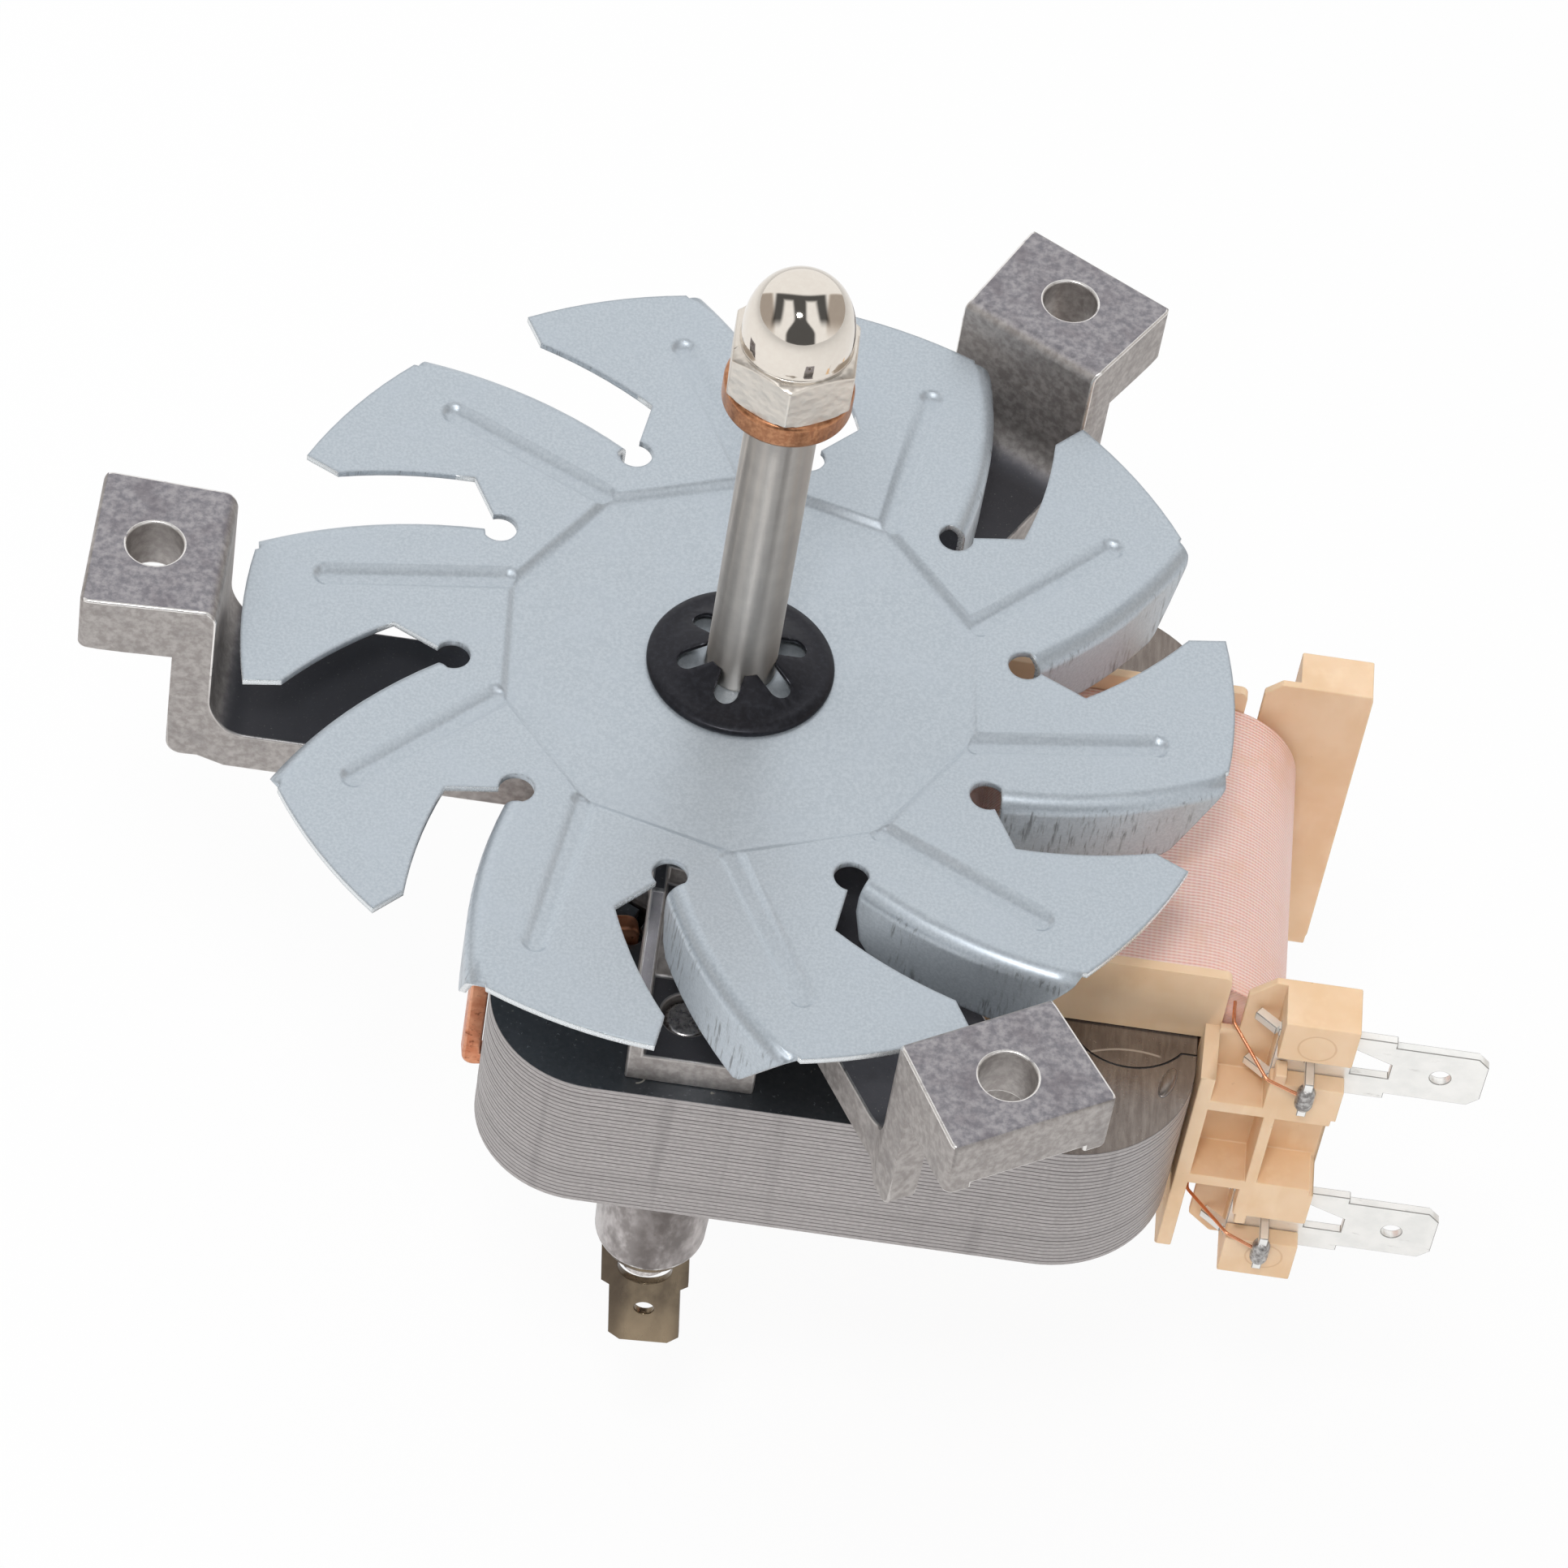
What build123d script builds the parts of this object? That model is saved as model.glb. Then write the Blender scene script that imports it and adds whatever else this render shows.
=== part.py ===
from build123d import *
import math
import os

os.makedirs("parts", exist_ok=True)

# Oven fan motor: a shaded pole motor that hangs under three cast feet, with a
# cooling fan on its shaft. Millimetres. The origin is on the shaft axis in the
# plane of the feet's top faces, +Z runs up the shaft to the nut, +X runs from
# the shaft to the coil, and the terminals are on the -Y side.

# Feet and legs of the front bracket
foot_circle_r = 50.0
foot_hole_r = 2.4
foot_back = 6.2
foot_front = 5.3
foot_half_inner = 6.9
foot_half_outer = 7.4
foot_thick = 5.3
foot_rail_drop = 0.7
foot_rail_w = 2.0
leg_web_thick = 3.5
leg_skin = 1.5
leg_rib_w = 1.6
leg_beam_top = -14.25
leg_beam_thick = 4.25
leg_side_low = 6.0
leg_side_high = 7.6
leg_inner_fillet = 3.4
leg_root_r = 8.0
leg_angles = (180.0, 60.0, -60.0)

# Cooling fan, cut and bent from sheet. Its rim runs just inside the legs, and a
# share is a part of the rim's radius
sheet = 0.6
fan_top = -4.2
fan_gap = 1.6
fan_blades = 10
fan_first_angle = -98.8
fan_hole_share = 0.5782
fan_hole_r = 1.5
fan_dish_share = 0.4787
fan_dish_depth = 0.6
fan_dish_slope = 0.9
fan_dish_phase = -24.0
vane_arc_share = 0.9929
vane_apex_share = (0.6256, -0.3642)
vane_start_share = 0.4976
vane_end_share = 0.955
vane_depth = 7.5
vane_bend_r = 1.5
groove_share = (0.4597, 0.8223)
groove_off_share = -0.2062
groove_w = 2.6
groove_depth = 0.6
tooth_share = (0.9206, 0.0758)
edge_mid_share = (0.8211, -0.0059)
edge_corner_share = (0.6919, -0.0829)

# Shaft, its nut and washers
shaft_r = 3.0
journal_r = 4.0
rotor_seat_r = 4.9
shaft_top = 37.6
nut_bottom = 30.65
nut_across_flats = 10.0
nut_hex_h = 4.7
nut_dome_r = 4.6
nut_collar_h = 1.8
seal_washer_r = 5.35
seal_washer_t = 2.5
push_washer_r = 8.0
push_washer_rise = 1.7
push_washer_t = 0.45
push_slots = 6
push_slot_w = 2.0
push_slot_out_r = 5.6
push_slot_angle = -102.0

# Laminated stack
lamination = 0.5
laminations = 32
stack_top = -25.5
stack_left = -17.1
stack_right = 43.4
stack_half_w = 30.9
stack_left_corner = 9.5
stack_right_corner = 11.3
bore_r = 12.3
air_gap = 0.3
window_left = 17.1
window_half_w = 18.5
window_corner = 1.5
core_left = 30.5
core_lobe_x = 37.5
core_lobe_from_window = 3.5
core_lobe_r = 5.7
screw_x = -0.35
screw_from_side = 6.6

# Rotor
rotor_bars = 14
rotor_bar_r = 1.0
rotor_bar_circle_r = 10.4
cage_ring_inner_r = 7.4
cage_ring_outer_r = 11.6
cage_ring_h = 2.8
thrust_t = 0.8
thrust_r = 4.75

# Bearings and their seats
bearing_r = 6.5
bearing_half_h = 4.0
bearing_from_stack = 10.0
seat_pocket_r = 8.2
seat_throat_r = 5.4
hub_r = 10.5
hub_above = 6.0
hub_below = 6.0
hub_plate_r = 15.5
retainer_t = 0.5
retainer_inner_r = 5.3
retainer_low = 5.0
retainer_dish = 1.2
felt_low = 3.7
felt_high = 0.9
end_play = 0.2

# Front bracket bridge, with its two seats on the stack
bridge_x0 = -4.9
bridge_x1 = 6.0
bridge_wall = 1.3
bridge_floor_t = 3.3
bridge_rim_h = 5.0
bridge_flat_y = 20.6
bridge_from_side = 1.6
bridge_back_y = 17.0
bridge_root_y = 9.0

# Rear bracket
post_top_r = 5.25
post_end_r = 4.85
post_h = 11.7
post_chamfer = 0.6
arch_half_w = 4.2
arch_z0 = -53.2
arch_z1 = -48.6

# Screws, with their heads under the posts and their ends in the bridge
screw_r = 2.0
screw_head_r = 2.2
screw_head_h = 3.6
screw_end_low = 0.5
screw_chamfer = 0.45

# Earth tab
earth_t = 0.8
earth_ring_r = 4.1
earth_from_screw = 0.9
earth_shoulder_w = 7.7
earth_shoulder_len = 5.75
earth_mouth_r = 2.4
earth_mouth_low = 3.4
earth_blade_w = 6.3
earth_len = 14.5
earth_hole_up = 5.0
earth_hole_r = 0.9
earth_lean = 4.9
earth_x = -0.5

# Shading rings
shade_bar = 1.6
shade_out_x = -18.05
shade_in_x = -6.0
shade_out_from_window = 2.6
shade_in_from_window = 4.6

# Bobbin, coil and tape
bobbin_wall = 1.2
flange_from_window = 2.9
flange_t = 0.9
flange_left = 22.6
flange_top = -17.1
flange_corner = 0.7
coil_half_x = 13.7
coil_half_z = 14.1
coil_corner = 8.5
tape_t = 0.3

# Terminal carriers at both ends of the bobbin
rim_x0 = 43.7
rim_t = 1.3
rim_y = 21.5
rim_root_drop = 6.1
rim_front_drop = 7.6
rim_foot_rise = 1.3
rim_foot_cut = 1.0
carrier_right = 56.0
carrier_left = 46.5
carrier_plate_y = 17.3
carrier_plate_t = 0.7
carrier_corner = 2.1
carrier_top = -15.7
pocket_half_z = 10.7
rib_x1 = 55.5
rib_t = 1.25
rib_from_mid = 5.25
post_rib_x = 49.8
post_rib_t = 1.0
block_x0 = 49.5
block_h = 4.8
slot_h = 3.5
block_low_h = 4.1
far_rim_y = 20.8
far_top_drop = 0.7

# Push-on terminals
tab_t = 0.8
tab_y = 19.3
tab_from_mid = 11.15
tab_root_w = 7.7
tab_blade_w = 6.3
tab_root_x = 59.5
tab_tip_x = 67.6
tail_from_mid = 3.1
tail_h = 0.9
tail_len = 2.3
tail_angle = 142.0
tab_hole_x = 63.8
tab_hole_r = 0.9
tab_chamfer = 1.0
pin_x = 52.6
pin_w = 0.8
pin_front_y = 22.75
pin_drop = 4.0
solder_r = 0.8
solder_h = 3.0
lead_r = 0.15

# Clearances
fit = 0.02
slip = 0.05
loose = 0.2

# Derived places
stack_h = lamination * laminations
stack_bottom = stack_top - stack_h
mid_z = (stack_top + stack_bottom) / 2
rotor_r = bore_r - air_gap
screw_y = stack_half_w - screw_from_side
bridge_front_y = stack_half_w - bridge_from_side
earth_y = screw_y + earth_from_screw
core_lobe_y = window_half_w - core_lobe_from_window
flange_in_y = window_half_w - flange_from_window
shade_out = (shade_out_x, shade_out_from_window - window_half_w)
shade_in = (shade_in_x, shade_in_from_window - window_half_w)
bearing_z = (stack_top + bearing_from_stack, stack_bottom - bearing_from_stack)
leg_beam_bottom = leg_beam_top - leg_beam_thick
foot_inner_r = foot_circle_r - foot_back
foot_outer_r = foot_circle_r + foot_front
leg_reach = max(leg_side_high, foot_half_outer) + 1
fan_rim_r = foot_inner_r - fan_gap
fan_hole_circle_r = fan_rim_r * fan_hole_share
fan_dish_apothem = fan_rim_r * fan_dish_share
vane_arc_r = fan_rim_r * vane_arc_share
vane_apex_x = fan_rim_r * vane_apex_share[0]
vane_apex_y = fan_rim_r * vane_apex_share[1]
vane_start_x = fan_rim_r * vane_start_share
vane_end_x = fan_rim_r * vane_end_share
groove_start_x = fan_rim_r * groove_share[0]
groove_end_x = fan_rim_r * groove_share[1]
groove_y = fan_rim_r * groove_off_share
tooth = (fan_rim_r * tooth_share[0], fan_rim_r * tooth_share[1])
edge_mid = (fan_rim_r * edge_mid_share[0], fan_rim_r * edge_mid_share[1])
edge_corner = (fan_rim_r * edge_corner_share[0], fan_rim_r * edge_corner_share[1])
dish_z = fan_top - fan_dish_depth
nut_top_of_hex = nut_bottom + nut_hex_h
core_right = stack_right
tube_x0 = core_left - loose
tube_x1 = core_right + loose
tube_z0 = stack_bottom - loose
tube_z1 = stack_top + loose
tube_mid_x = (tube_x0 + tube_x1) / 2
flange_out_y = flange_in_y + flange_t


def box(x0, x1, y0, y1, z0, z1):
    size = (x1 - x0, y1 - y0, z1 - z0)
    return Pos((x0 + x1) / 2, (y0 + y1) / 2, (z0 + z1) / 2) * Box(*size)


def outline(points):
    return make_face(Polyline(*points, close=True))


def slab(shape, z0, z1):
    return extrude(Pos(0, 0, z0) * shape, amount=z1 - z0, dir=(0, 0, 1))


def across(shape, y0, y1):
    # shape drawn in X and Z, made solid from y0 to y1
    return extrude(Pos(0, y1, 0) * (Plane.XZ * shape), amount=y1 - y0, dir=(0, -1, 0))


def along(shape, x0, x1):
    # shape drawn in Y and Z, made solid from x0 to x1
    return extrude(Pos(x0, 0, 0) * (Plane.YZ * shape), amount=x1 - x0, dir=(1, 0, 0))


def turned(points):
    # points are radius and height, turned about the shaft axis
    return revolve(Plane.XZ * outline(points), axis=Axis.Z)


def rod(x, y, r, z0, z1):
    return Pos(x, y, (z0 + z1) / 2) * Cylinder(r, z1 - z0)


def rounded(x0, x1, z0, z1, r):
    width = x1 - x0
    height = z1 - z0
    return Pos((x0 + x1) / 2, (z0 + z1) / 2) * RectangleRounded(width, height, r)


def flip_z(shape):
    # mirror about the middle plane of the stack
    return mirror(shape, about=Plane.XY.offset(mid_z))


def save(name, shape):
    export_step(shape, "parts/" + name + ".step")


# Cooling fan

def at(angle, radius):
    return (radius * math.cos(math.radians(angle)), radius * math.sin(math.radians(angle)))


def fan_planform():
    reach = fan_rim_r + 6
    pitch = 360.0 / fan_blades
    hole_a = at(-pitch, fan_hole_circle_r)
    far = at(-pitch * 0.75, reach)
    edges = Line((0, 0), (fan_hole_circle_r, 0))
    edges += Line((fan_hole_circle_r, 0), edge_corner)
    edges += ThreePointArc(edge_corner, edge_mid, tooth)
    edges += Polyline(tooth, (reach, tooth[1]), far, hole_a, (0, 0))
    blade = make_face(edges)
    centre = (vane_apex_x, vane_apex_y + vane_arc_r)
    inside_vane = Pos(*centre) * Circle(vane_arc_r - vane_bend_r)
    hub = outline([(0, 0), (fan_hole_circle_r, 0), hole_a])
    blade = (blade & inside_vane) + hub
    return blade & Circle(fan_rim_r)


def fan_vane():
    # the bent strip: quarter bend and upright, turned about the arc's centre
    r_out = vane_arc_r
    bend = Pos(r_out - vane_bend_r, -vane_bend_r) * (Circle(vane_bend_r) - Circle(vane_bend_r - sheet))
    bend = bend & (Pos(r_out, 0) * Rectangle(2 * vane_bend_r, 2 * vane_bend_r))
    lip_x = r_out - vane_bend_r
    lip = Pos(lip_x - 0.05, -sheet / 2) * Rectangle(0.1, sheet)
    wall_h = vane_depth - vane_bend_r
    wall = Pos(r_out - sheet / 2, -vane_bend_r - wall_h / 2) * Rectangle(sheet, wall_h)
    section = bend + lip + wall
    ring = revolve(Plane.XZ * section, axis=Axis.Z, revolution_arc=42)
    ring = Rot(0, 0, -90 - 13) * ring
    ring = Pos(vane_apex_x, vane_apex_y + vane_arc_r, 0) * ring
    ends = outline([
        (vane_start_x, 1),
        (vane_start_x, -3.0),
        (vane_start_x + 0.8, 1.4 - vane_depth),
        (vane_start_x + 1.9, 0.4 - vane_depth),
        (vane_end_x - 4.6, -vane_depth),
        (vane_end_x - 3.9, 0.5 - vane_depth),
        (vane_end_x, -0.6),
        (vane_end_x, 1),
    ])
    return ring & across(ends, vane_apex_y - sheet, 0)


flat = Circle(fan_dish_apothem)
vanes = []
pitch = 360.0 / fan_blades
for k in range(fan_blades):
    turn = fan_first_angle + k * pitch
    flat += Rot(0, 0, turn) * fan_planform()
    vanes.append(Rot(0, 0, turn) * Pos(0, 0, fan_top) * fan_vane())
for k in range(fan_blades):
    x, y = at(fan_first_angle + k * pitch, fan_hole_circle_r)
    flat -= Pos(x, y) * Circle(fan_hole_r)
fan = slab(flat, fan_top - sheet, fan_top)


def corner_angle(polygon):
    first = polygon.vertices()[0]
    return math.degrees(math.atan2(first.Y, first.X))


def decagon(apothem, z):
    # turned so that its corners meet the grooves
    shape = RegularPolygon(apothem, fan_blades, major_radius=False)
    turn = fan_first_angle + fan_dish_phase - corner_angle(shape)
    return Pos(0, 0, z) * Rot(0, 0, turn) * shape


slope_out = fan_dish_slope * 0.2
under = [
    decagon(fan_dish_apothem + slope_out, fan_top - sheet),
    decagon(fan_dish_apothem + slope_out - fan_dish_slope, dish_z - sheet),
]
over = [
    decagon(fan_dish_apothem, fan_top),
    decagon(fan_dish_apothem - fan_dish_slope, dish_z),
]
groove_len = groove_end_x - groove_start_x
groove_mid = (groove_start_x + groove_end_x) / 2
groove_slope = math.degrees(math.atan2(0.75, groove_depth))
pressed_under = loft(under)
pressed_over = loft(over)
for k in range(fan_blades):
    place = Rot(0, 0, fan_first_angle + k * pitch) * Pos(groove_mid, groove_y, 0)
    wide = extrude(SlotCenterToCenter(groove_len, groove_w + 0.3), amount=-groove_depth, taper=groove_slope)
    slim = extrude(SlotCenterToCenter(groove_len, groove_w), amount=-groove_depth, taper=groove_slope)
    pressed_under += place * Pos(0, 0, fan_top - sheet) * wide
    pressed_over += place * Pos(0, 0, fan_top) * slim
fan = fan + pressed_under
for vane in vanes:
    fan = fan + vane
fan = fan - pressed_over
fan = fan - rod(0, 0, shaft_r + fit, dish_z - 2 * sheet, fan_top)
save("cooling_fan", fan)


# Shaft with the shoulder that carries the fan and the wider seat of the rotor

thrust_z = (bearing_z[0] - bearing_half_h - end_play, bearing_z[1] + bearing_half_h + end_play)
seat_top = thrust_z[0] - thrust_t
seat_bottom = thrust_z[1] + thrust_t
shaft_end = bearing_z[1] - hub_above - 1.0
fan_under = dish_z - sheet
shaft = turned([
    (0, shaft_end),
    (journal_r - 0.6, shaft_end),
    (journal_r, shaft_end + 0.6),
    (journal_r, seat_bottom),
    (rotor_seat_r, seat_bottom),
    (rotor_seat_r, seat_top),
    (journal_r, seat_top),
    (journal_r, fan_under),
    (shaft_r, fan_under),
    (shaft_r, shaft_top - 0.8),
    (shaft_r - 0.8, shaft_top),
    (0, shaft_top),
])
save("shaft", shaft)

# Rotor laminations and the cast aluminium cage
core = rod(0, 0, rotor_r, stack_bottom, stack_top)
core -= rod(0, 0, rotor_seat_r + fit, stack_bottom, stack_top)
ring_h = cage_ring_h
cage_ring = Circle(cage_ring_outer_r) - Circle(cage_ring_inner_r)
cage = slab(cage_ring, stack_top, stack_top + ring_h)
cage += slab(cage_ring, stack_bottom - ring_h, stack_bottom)
for k in range(rotor_bars):
    x, y = at(k * 360.0 / rotor_bars, rotor_bar_circle_r)
    core -= rod(x, y, rotor_bar_r + fit, stack_bottom, stack_top)
    cage += rod(x, y, rotor_bar_r, stack_bottom, stack_top)
save("rotor_core", core)
save("rotor_cage", cage)

washers = []
for z in (seat_top, thrust_z[1]):
    ring = Circle(thrust_r) - Circle(journal_r + fit)
    washers.append(slab(ring, z, z + thrust_t))
save("thrust_washers", Compound(children=washers))

# Push-on washer: a shallow cone of spring steel with six slots
rise = push_washer_rise
rim_z = dish_z
cone = turned([
    (shaft_r + fit, rim_z + rise),
    (shaft_r + fit, rim_z + rise + push_washer_t),
    (5.3, rim_z + 1.3),
    (6.6, rim_z + 0.75),
    (7.1, rim_z + 0.85),
    (push_washer_r - 0.2, rim_z + 0.6),
    (push_washer_r, rim_z + 0.35),
    (push_washer_r, rim_z + 0.05),
    (push_washer_r - 0.3, rim_z),
    (6.8, rim_z + 0.2),
    (5.2, rim_z + 0.85),
])
for k in range(push_slots):
    slot_len = push_slot_out_r - push_slot_w / 2
    mark = Pos(slot_len / 2, 0) * SlotCenterToCenter(slot_len, push_slot_w)
    angle = push_slot_angle + k * 360.0 / push_slots
    cone -= slab(Rot(0, 0, angle) * mark, rim_z - 1, rim_z + rise + 2)
save("push_on_washer", cone)

# Copper sealing washer under the cap nut
ring = Circle(seal_washer_r) - Circle(shaft_r + slip)
seal = slab(ring, nut_bottom - seal_washer_t, nut_bottom)
edges = seal.edges().filter_by(GeomType.CIRCLE).sort_by(SortBy.RADIUS)[-2:]
seal = fillet(edges, 0.5)
save("copper_washer", seal)

# Domed cap nut
hex_shape = RegularPolygon(nut_across_flats / 2, 6, major_radius=False)
corner_r = nut_across_flats / 2 / math.cos(math.radians(30))
nut = slab(Rot(0, 0, -90 - corner_angle(hex_shape)) * hex_shape, nut_bottom, nut_top_of_hex)
bevel = (corner_r - nut_across_flats / 2) * 0.6
nut = nut & turned([
    (0, nut_bottom),
    (nut_across_flats / 2, nut_bottom),
    (corner_r + 0.1, nut_bottom + bevel),
    (corner_r + 0.1, nut_top_of_hex - bevel),
    (nut_across_flats / 2 - 0.2, nut_top_of_hex),
    (0, nut_top_of_hex),
])
dome_z = nut_top_of_hex + nut_collar_h
nut += rod(0, 0, nut_dome_r, nut_top_of_hex, dome_z)
nut += Pos(0, 0, dome_z) * Sphere(nut_dome_r)
nut -= rod(0, 0, shaft_r + fit, nut_bottom, shaft_top + loose)
save("cap_nut", nut)


# Front bracket casting: hub, three legs with feet and the bridge to the stack

def leg():
    profile = Polygon(
        (leg_root_r, leg_beam_bottom),
        (foot_inner_r + leg_web_thick, leg_beam_bottom),
        (foot_inner_r + leg_web_thick, -foot_thick),
        (foot_outer_r, -foot_thick),
        (foot_outer_r, 0),
        (foot_inner_r, 0),
        (foot_inner_r, leg_beam_top),
        (leg_root_r, leg_beam_top),
        align=None,
    )
    radii = {
        (foot_inner_r + leg_web_thick, leg_beam_bottom): 1.5,
        (foot_inner_r + leg_web_thick, -foot_thick): 0.8,
        (foot_outer_r, 0): 0.5,
        (foot_inner_r, 0): 1.2,
        (foot_inner_r, leg_beam_top): leg_inner_fillet,
    }
    for corner_at, radius in radii.items():
        near = [v for v in profile.vertices() if abs(v.X - corner_at[0]) + abs(v.Y - corner_at[1]) < 0.01]
        profile = fillet(near, radius)
    body = across(profile, -leg_reach, leg_reach)
    for side in (-1, 1):
        t0 = side * (foot_half_inner - foot_rail_w + 0.2)
        t1 = side * leg_reach
        rail = box(
            foot_inner_r + leg_web_thick - 0.5, foot_outer_r,
            min(t0, t1), max(t0, t1),
            -foot_thick - foot_rail_drop, -foot_thick + 0.2,
        )
        body += rail
    plan = Polygon(
        (leg_root_r, -leg_side_low),
        (foot_inner_r - 1.6, -leg_side_low),
        (foot_inner_r + 0.8, -foot_half_inner),
        (foot_outer_r, -foot_half_outer),
        (foot_outer_r, foot_half_outer),
        (foot_inner_r + 0.8, foot_half_inner),
        (foot_inner_r - 1.6, leg_side_high),
        (leg_root_r, leg_side_high),
        align=None,
    )
    ends = [v for v in plan.vertices() if v.X > foot_outer_r - 0.01]
    plan = fillet(ends, 0.8)
    body = body & slab(plan, leg_beam_bottom - 1, 1)
    # the underside is cored out, which leaves a skin and a rib along each side
    skin_x = foot_inner_r + leg_skin
    skin_z = leg_beam_top - leg_skin
    cored = Polygon(
        (hub_plate_r + 2.5, leg_beam_bottom - 1),
        (hub_plate_r + 2.5, skin_z),
        (skin_x - 1, skin_z),
        (skin_x, skin_z + 1),
        (skin_x, -foot_thick),
        (foot_inner_r + leg_web_thick + 1, -foot_thick),
        (foot_inner_r + leg_web_thick + 1, leg_beam_bottom - 1),
        align=None,
    )
    body -= across(cored, leg_rib_w - leg_side_low, leg_side_high - leg_rib_w)
    return body - rod(foot_circle_r, 0, foot_hole_r, -foot_thick - 3, 1)


def bearing_seat(body, z):
    # cavity opens towards the rotor, the spherical seat faces it
    body -= rod(0, 0, seat_pocket_r, z - hub_below - 1, z + 1.0)
    body -= rod(0, 0, seat_throat_r, z, z + hub_above + 1)
    return body - Pos(0, 0, z) * Sphere(bearing_r + fit)


def bridge_half():
    walls = Polygon(
        (-bridge_front_y, stack_top),
        (-bridge_front_y, stack_top + bridge_rim_h),
        (-bridge_front_y + 2.2, stack_top + bridge_rim_h),
        (-bridge_back_y - 0.8, leg_beam_top),
        (-bridge_root_y, leg_beam_top),
        (-bridge_root_y, leg_beam_bottom),
        (-bridge_back_y + 2.6, leg_beam_bottom),
        (-bridge_back_y, leg_beam_bottom - 3.0),
        (-bridge_back_y, stack_top),
        align=None,
    )
    floor = Polygon(
        (-bridge_front_y, stack_top),
        (-bridge_front_y, stack_top + bridge_floor_t),
        (-bridge_flat_y, stack_top + bridge_floor_t),
        (-bridge_back_y, leg_beam_top - 2.2),
        (-bridge_root_y, leg_beam_top - 2.2),
        (-bridge_root_y, leg_beam_bottom),
        (-bridge_back_y + 2.6, leg_beam_bottom),
        (-bridge_back_y, leg_beam_bottom - 3.0),
        (-bridge_back_y, stack_top),
        align=None,
    )
    half = along(floor, bridge_x0, bridge_x1)
    half += along(walls, bridge_x0, bridge_x0 + bridge_wall)
    half += along(walls, bridge_x1 - bridge_wall, bridge_x1)
    return half


front_z = bearing_z[0]
front = rod(0, 0, hub_plate_r, leg_beam_bottom, leg_beam_top)
front += rod(0, 0, hub_r, front_z - hub_below, front_z + hub_above)
for angle in leg_angles:
    front += Rot(0, 0, angle) * leg()
front += bridge_half() + mirror(bridge_half(), about=Plane.XZ)
for side in (-1, 1):
    front -= rod(screw_x, side * screw_y, screw_r + loose, stack_top - 1, leg_beam_top)
front = bearing_seat(front, front_z)
save("front_bracket", front)

# Rear bracket casting: two posts, the arch between them and the hub
rear_z = bearing_z[1]
post_end = stack_bottom - post_h
rear = flip_z(rod(0, 0, hub_r, front_z - hub_below, front_z + hub_above))
rear += box(-arch_half_w, arch_half_w, -screw_y, screw_y, arch_z0, arch_z1)
post = turned([
    (0, post_end),
    (post_end_r - post_chamfer, post_end),
    (post_end_r, post_end + post_chamfer),
    (post_top_r, stack_bottom),
    (0, stack_bottom),
])
for side in (-1, 1):
    rear += Pos(screw_x, side * screw_y, 0) * post
for side in (-1, 1):
    rear -= rod(screw_x, side * screw_y, screw_r + fit, post_end - 1, stack_bottom + 1)
rear = flip_z(bearing_seat(flip_z(rear), front_z))
save("rear_bracket", rear)

# Self-aligning bearings, their oil felts and spring retainers
ball = Pos(0, 0, front_z) * Sphere(bearing_r)
ball = ball & rod(0, 0, bearing_r + 1, front_z - bearing_half_h, front_z + bearing_half_h)
ball -= rod(0, 0, journal_r + fit, front_z - bearing_half_h - 1, front_z + bearing_half_h + 1)
felt = slab(Circle(seat_pocket_r - slip) - Circle(bearing_r + 0.1), front_z - felt_low, front_z + felt_high)
clip_z = front_z - retainer_low
clip = turned([
    (seat_pocket_r - fit, clip_z),
    (seat_pocket_r - fit, clip_z + retainer_t),
    (retainer_inner_r, clip_z + retainer_dish),
    (retainer_inner_r, clip_z + retainer_dish - retainer_t),
])
for name, shape in (("bearing", ball), ("oil_felt", felt), ("bearing_retainer", clip)):
    save(name + "_front", shape)
    save(name + "_rear", flip_z(shape))

# Bracket screws, up through the posts and the stack into the bridge
screws = []
screw_top = stack_top + bridge_floor_t - screw_end_low
for side, seat in ((-1, post_end - earth_t), (1, post_end)):
    screw = turned([
        (0, seat - screw_head_h),
        (screw_head_r - screw_chamfer, seat - screw_head_h),
        (screw_head_r, seat - screw_head_h + screw_chamfer),
        (screw_head_r, seat),
        (screw_r, seat),
        (screw_r, screw_top - screw_chamfer),
        (screw_r - screw_chamfer, screw_top),
        (0, screw_top),
    ])
    screws.append(Pos(screw_x, side * screw_y, 0) * screw)
save("bracket_screws", Compound(children=screws))

# Earth tab under the front post
ring = Pos(screw_x, -screw_y) * (Circle(earth_ring_r) - Circle(screw_r + slip))
earth = slab(ring, post_end - earth_t, post_end)
half_s = earth_shoulder_w / 2
half_b = earth_blade_w / 2
low = post_end - earth_len
blade = Polygon(
    (-half_s, post_end),
    (half_s, post_end),
    (half_s, post_end - earth_shoulder_len),
    (half_b, post_end - earth_shoulder_len - 0.6),
    (half_b, low + 1),
    (half_b - 1, low),
    (1 - half_b, low),
    (-half_b, low + 1),
    (-half_b, post_end - earth_shoulder_len - 0.6),
    (-half_s, post_end - earth_shoulder_len),
    align=None,
)
blade -= Pos(0, low + earth_hole_up) * Circle(earth_hole_r)
# a round mouth at the bend, for the head of the screw
blade -= Pos(0, post_end - earth_mouth_low) * Circle(earth_mouth_r)
mouth_mid = post_end - (earth_mouth_low + earth_t) / 2
blade -= Pos(0, mouth_mid) * Rectangle(2 * earth_mouth_r, earth_mouth_low - earth_t)
blade = Pos(earth_x, post_end) * Rot(0, 0, earth_lean) * Pos(0, -post_end) * blade
plate = across(blade, -earth_y - earth_t, -earth_y)
below = box(
    -earth_shoulder_w, earth_shoulder_w,
    -earth_y - 2 * earth_t, -earth_y + earth_t,
    low - earth_len, post_end,
)
plate = plate & below
earth = earth + plate - rod(screw_x, -screw_y, screw_r + slip, post_end - 2, post_end + 1)
save("earth_tab", earth)

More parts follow.
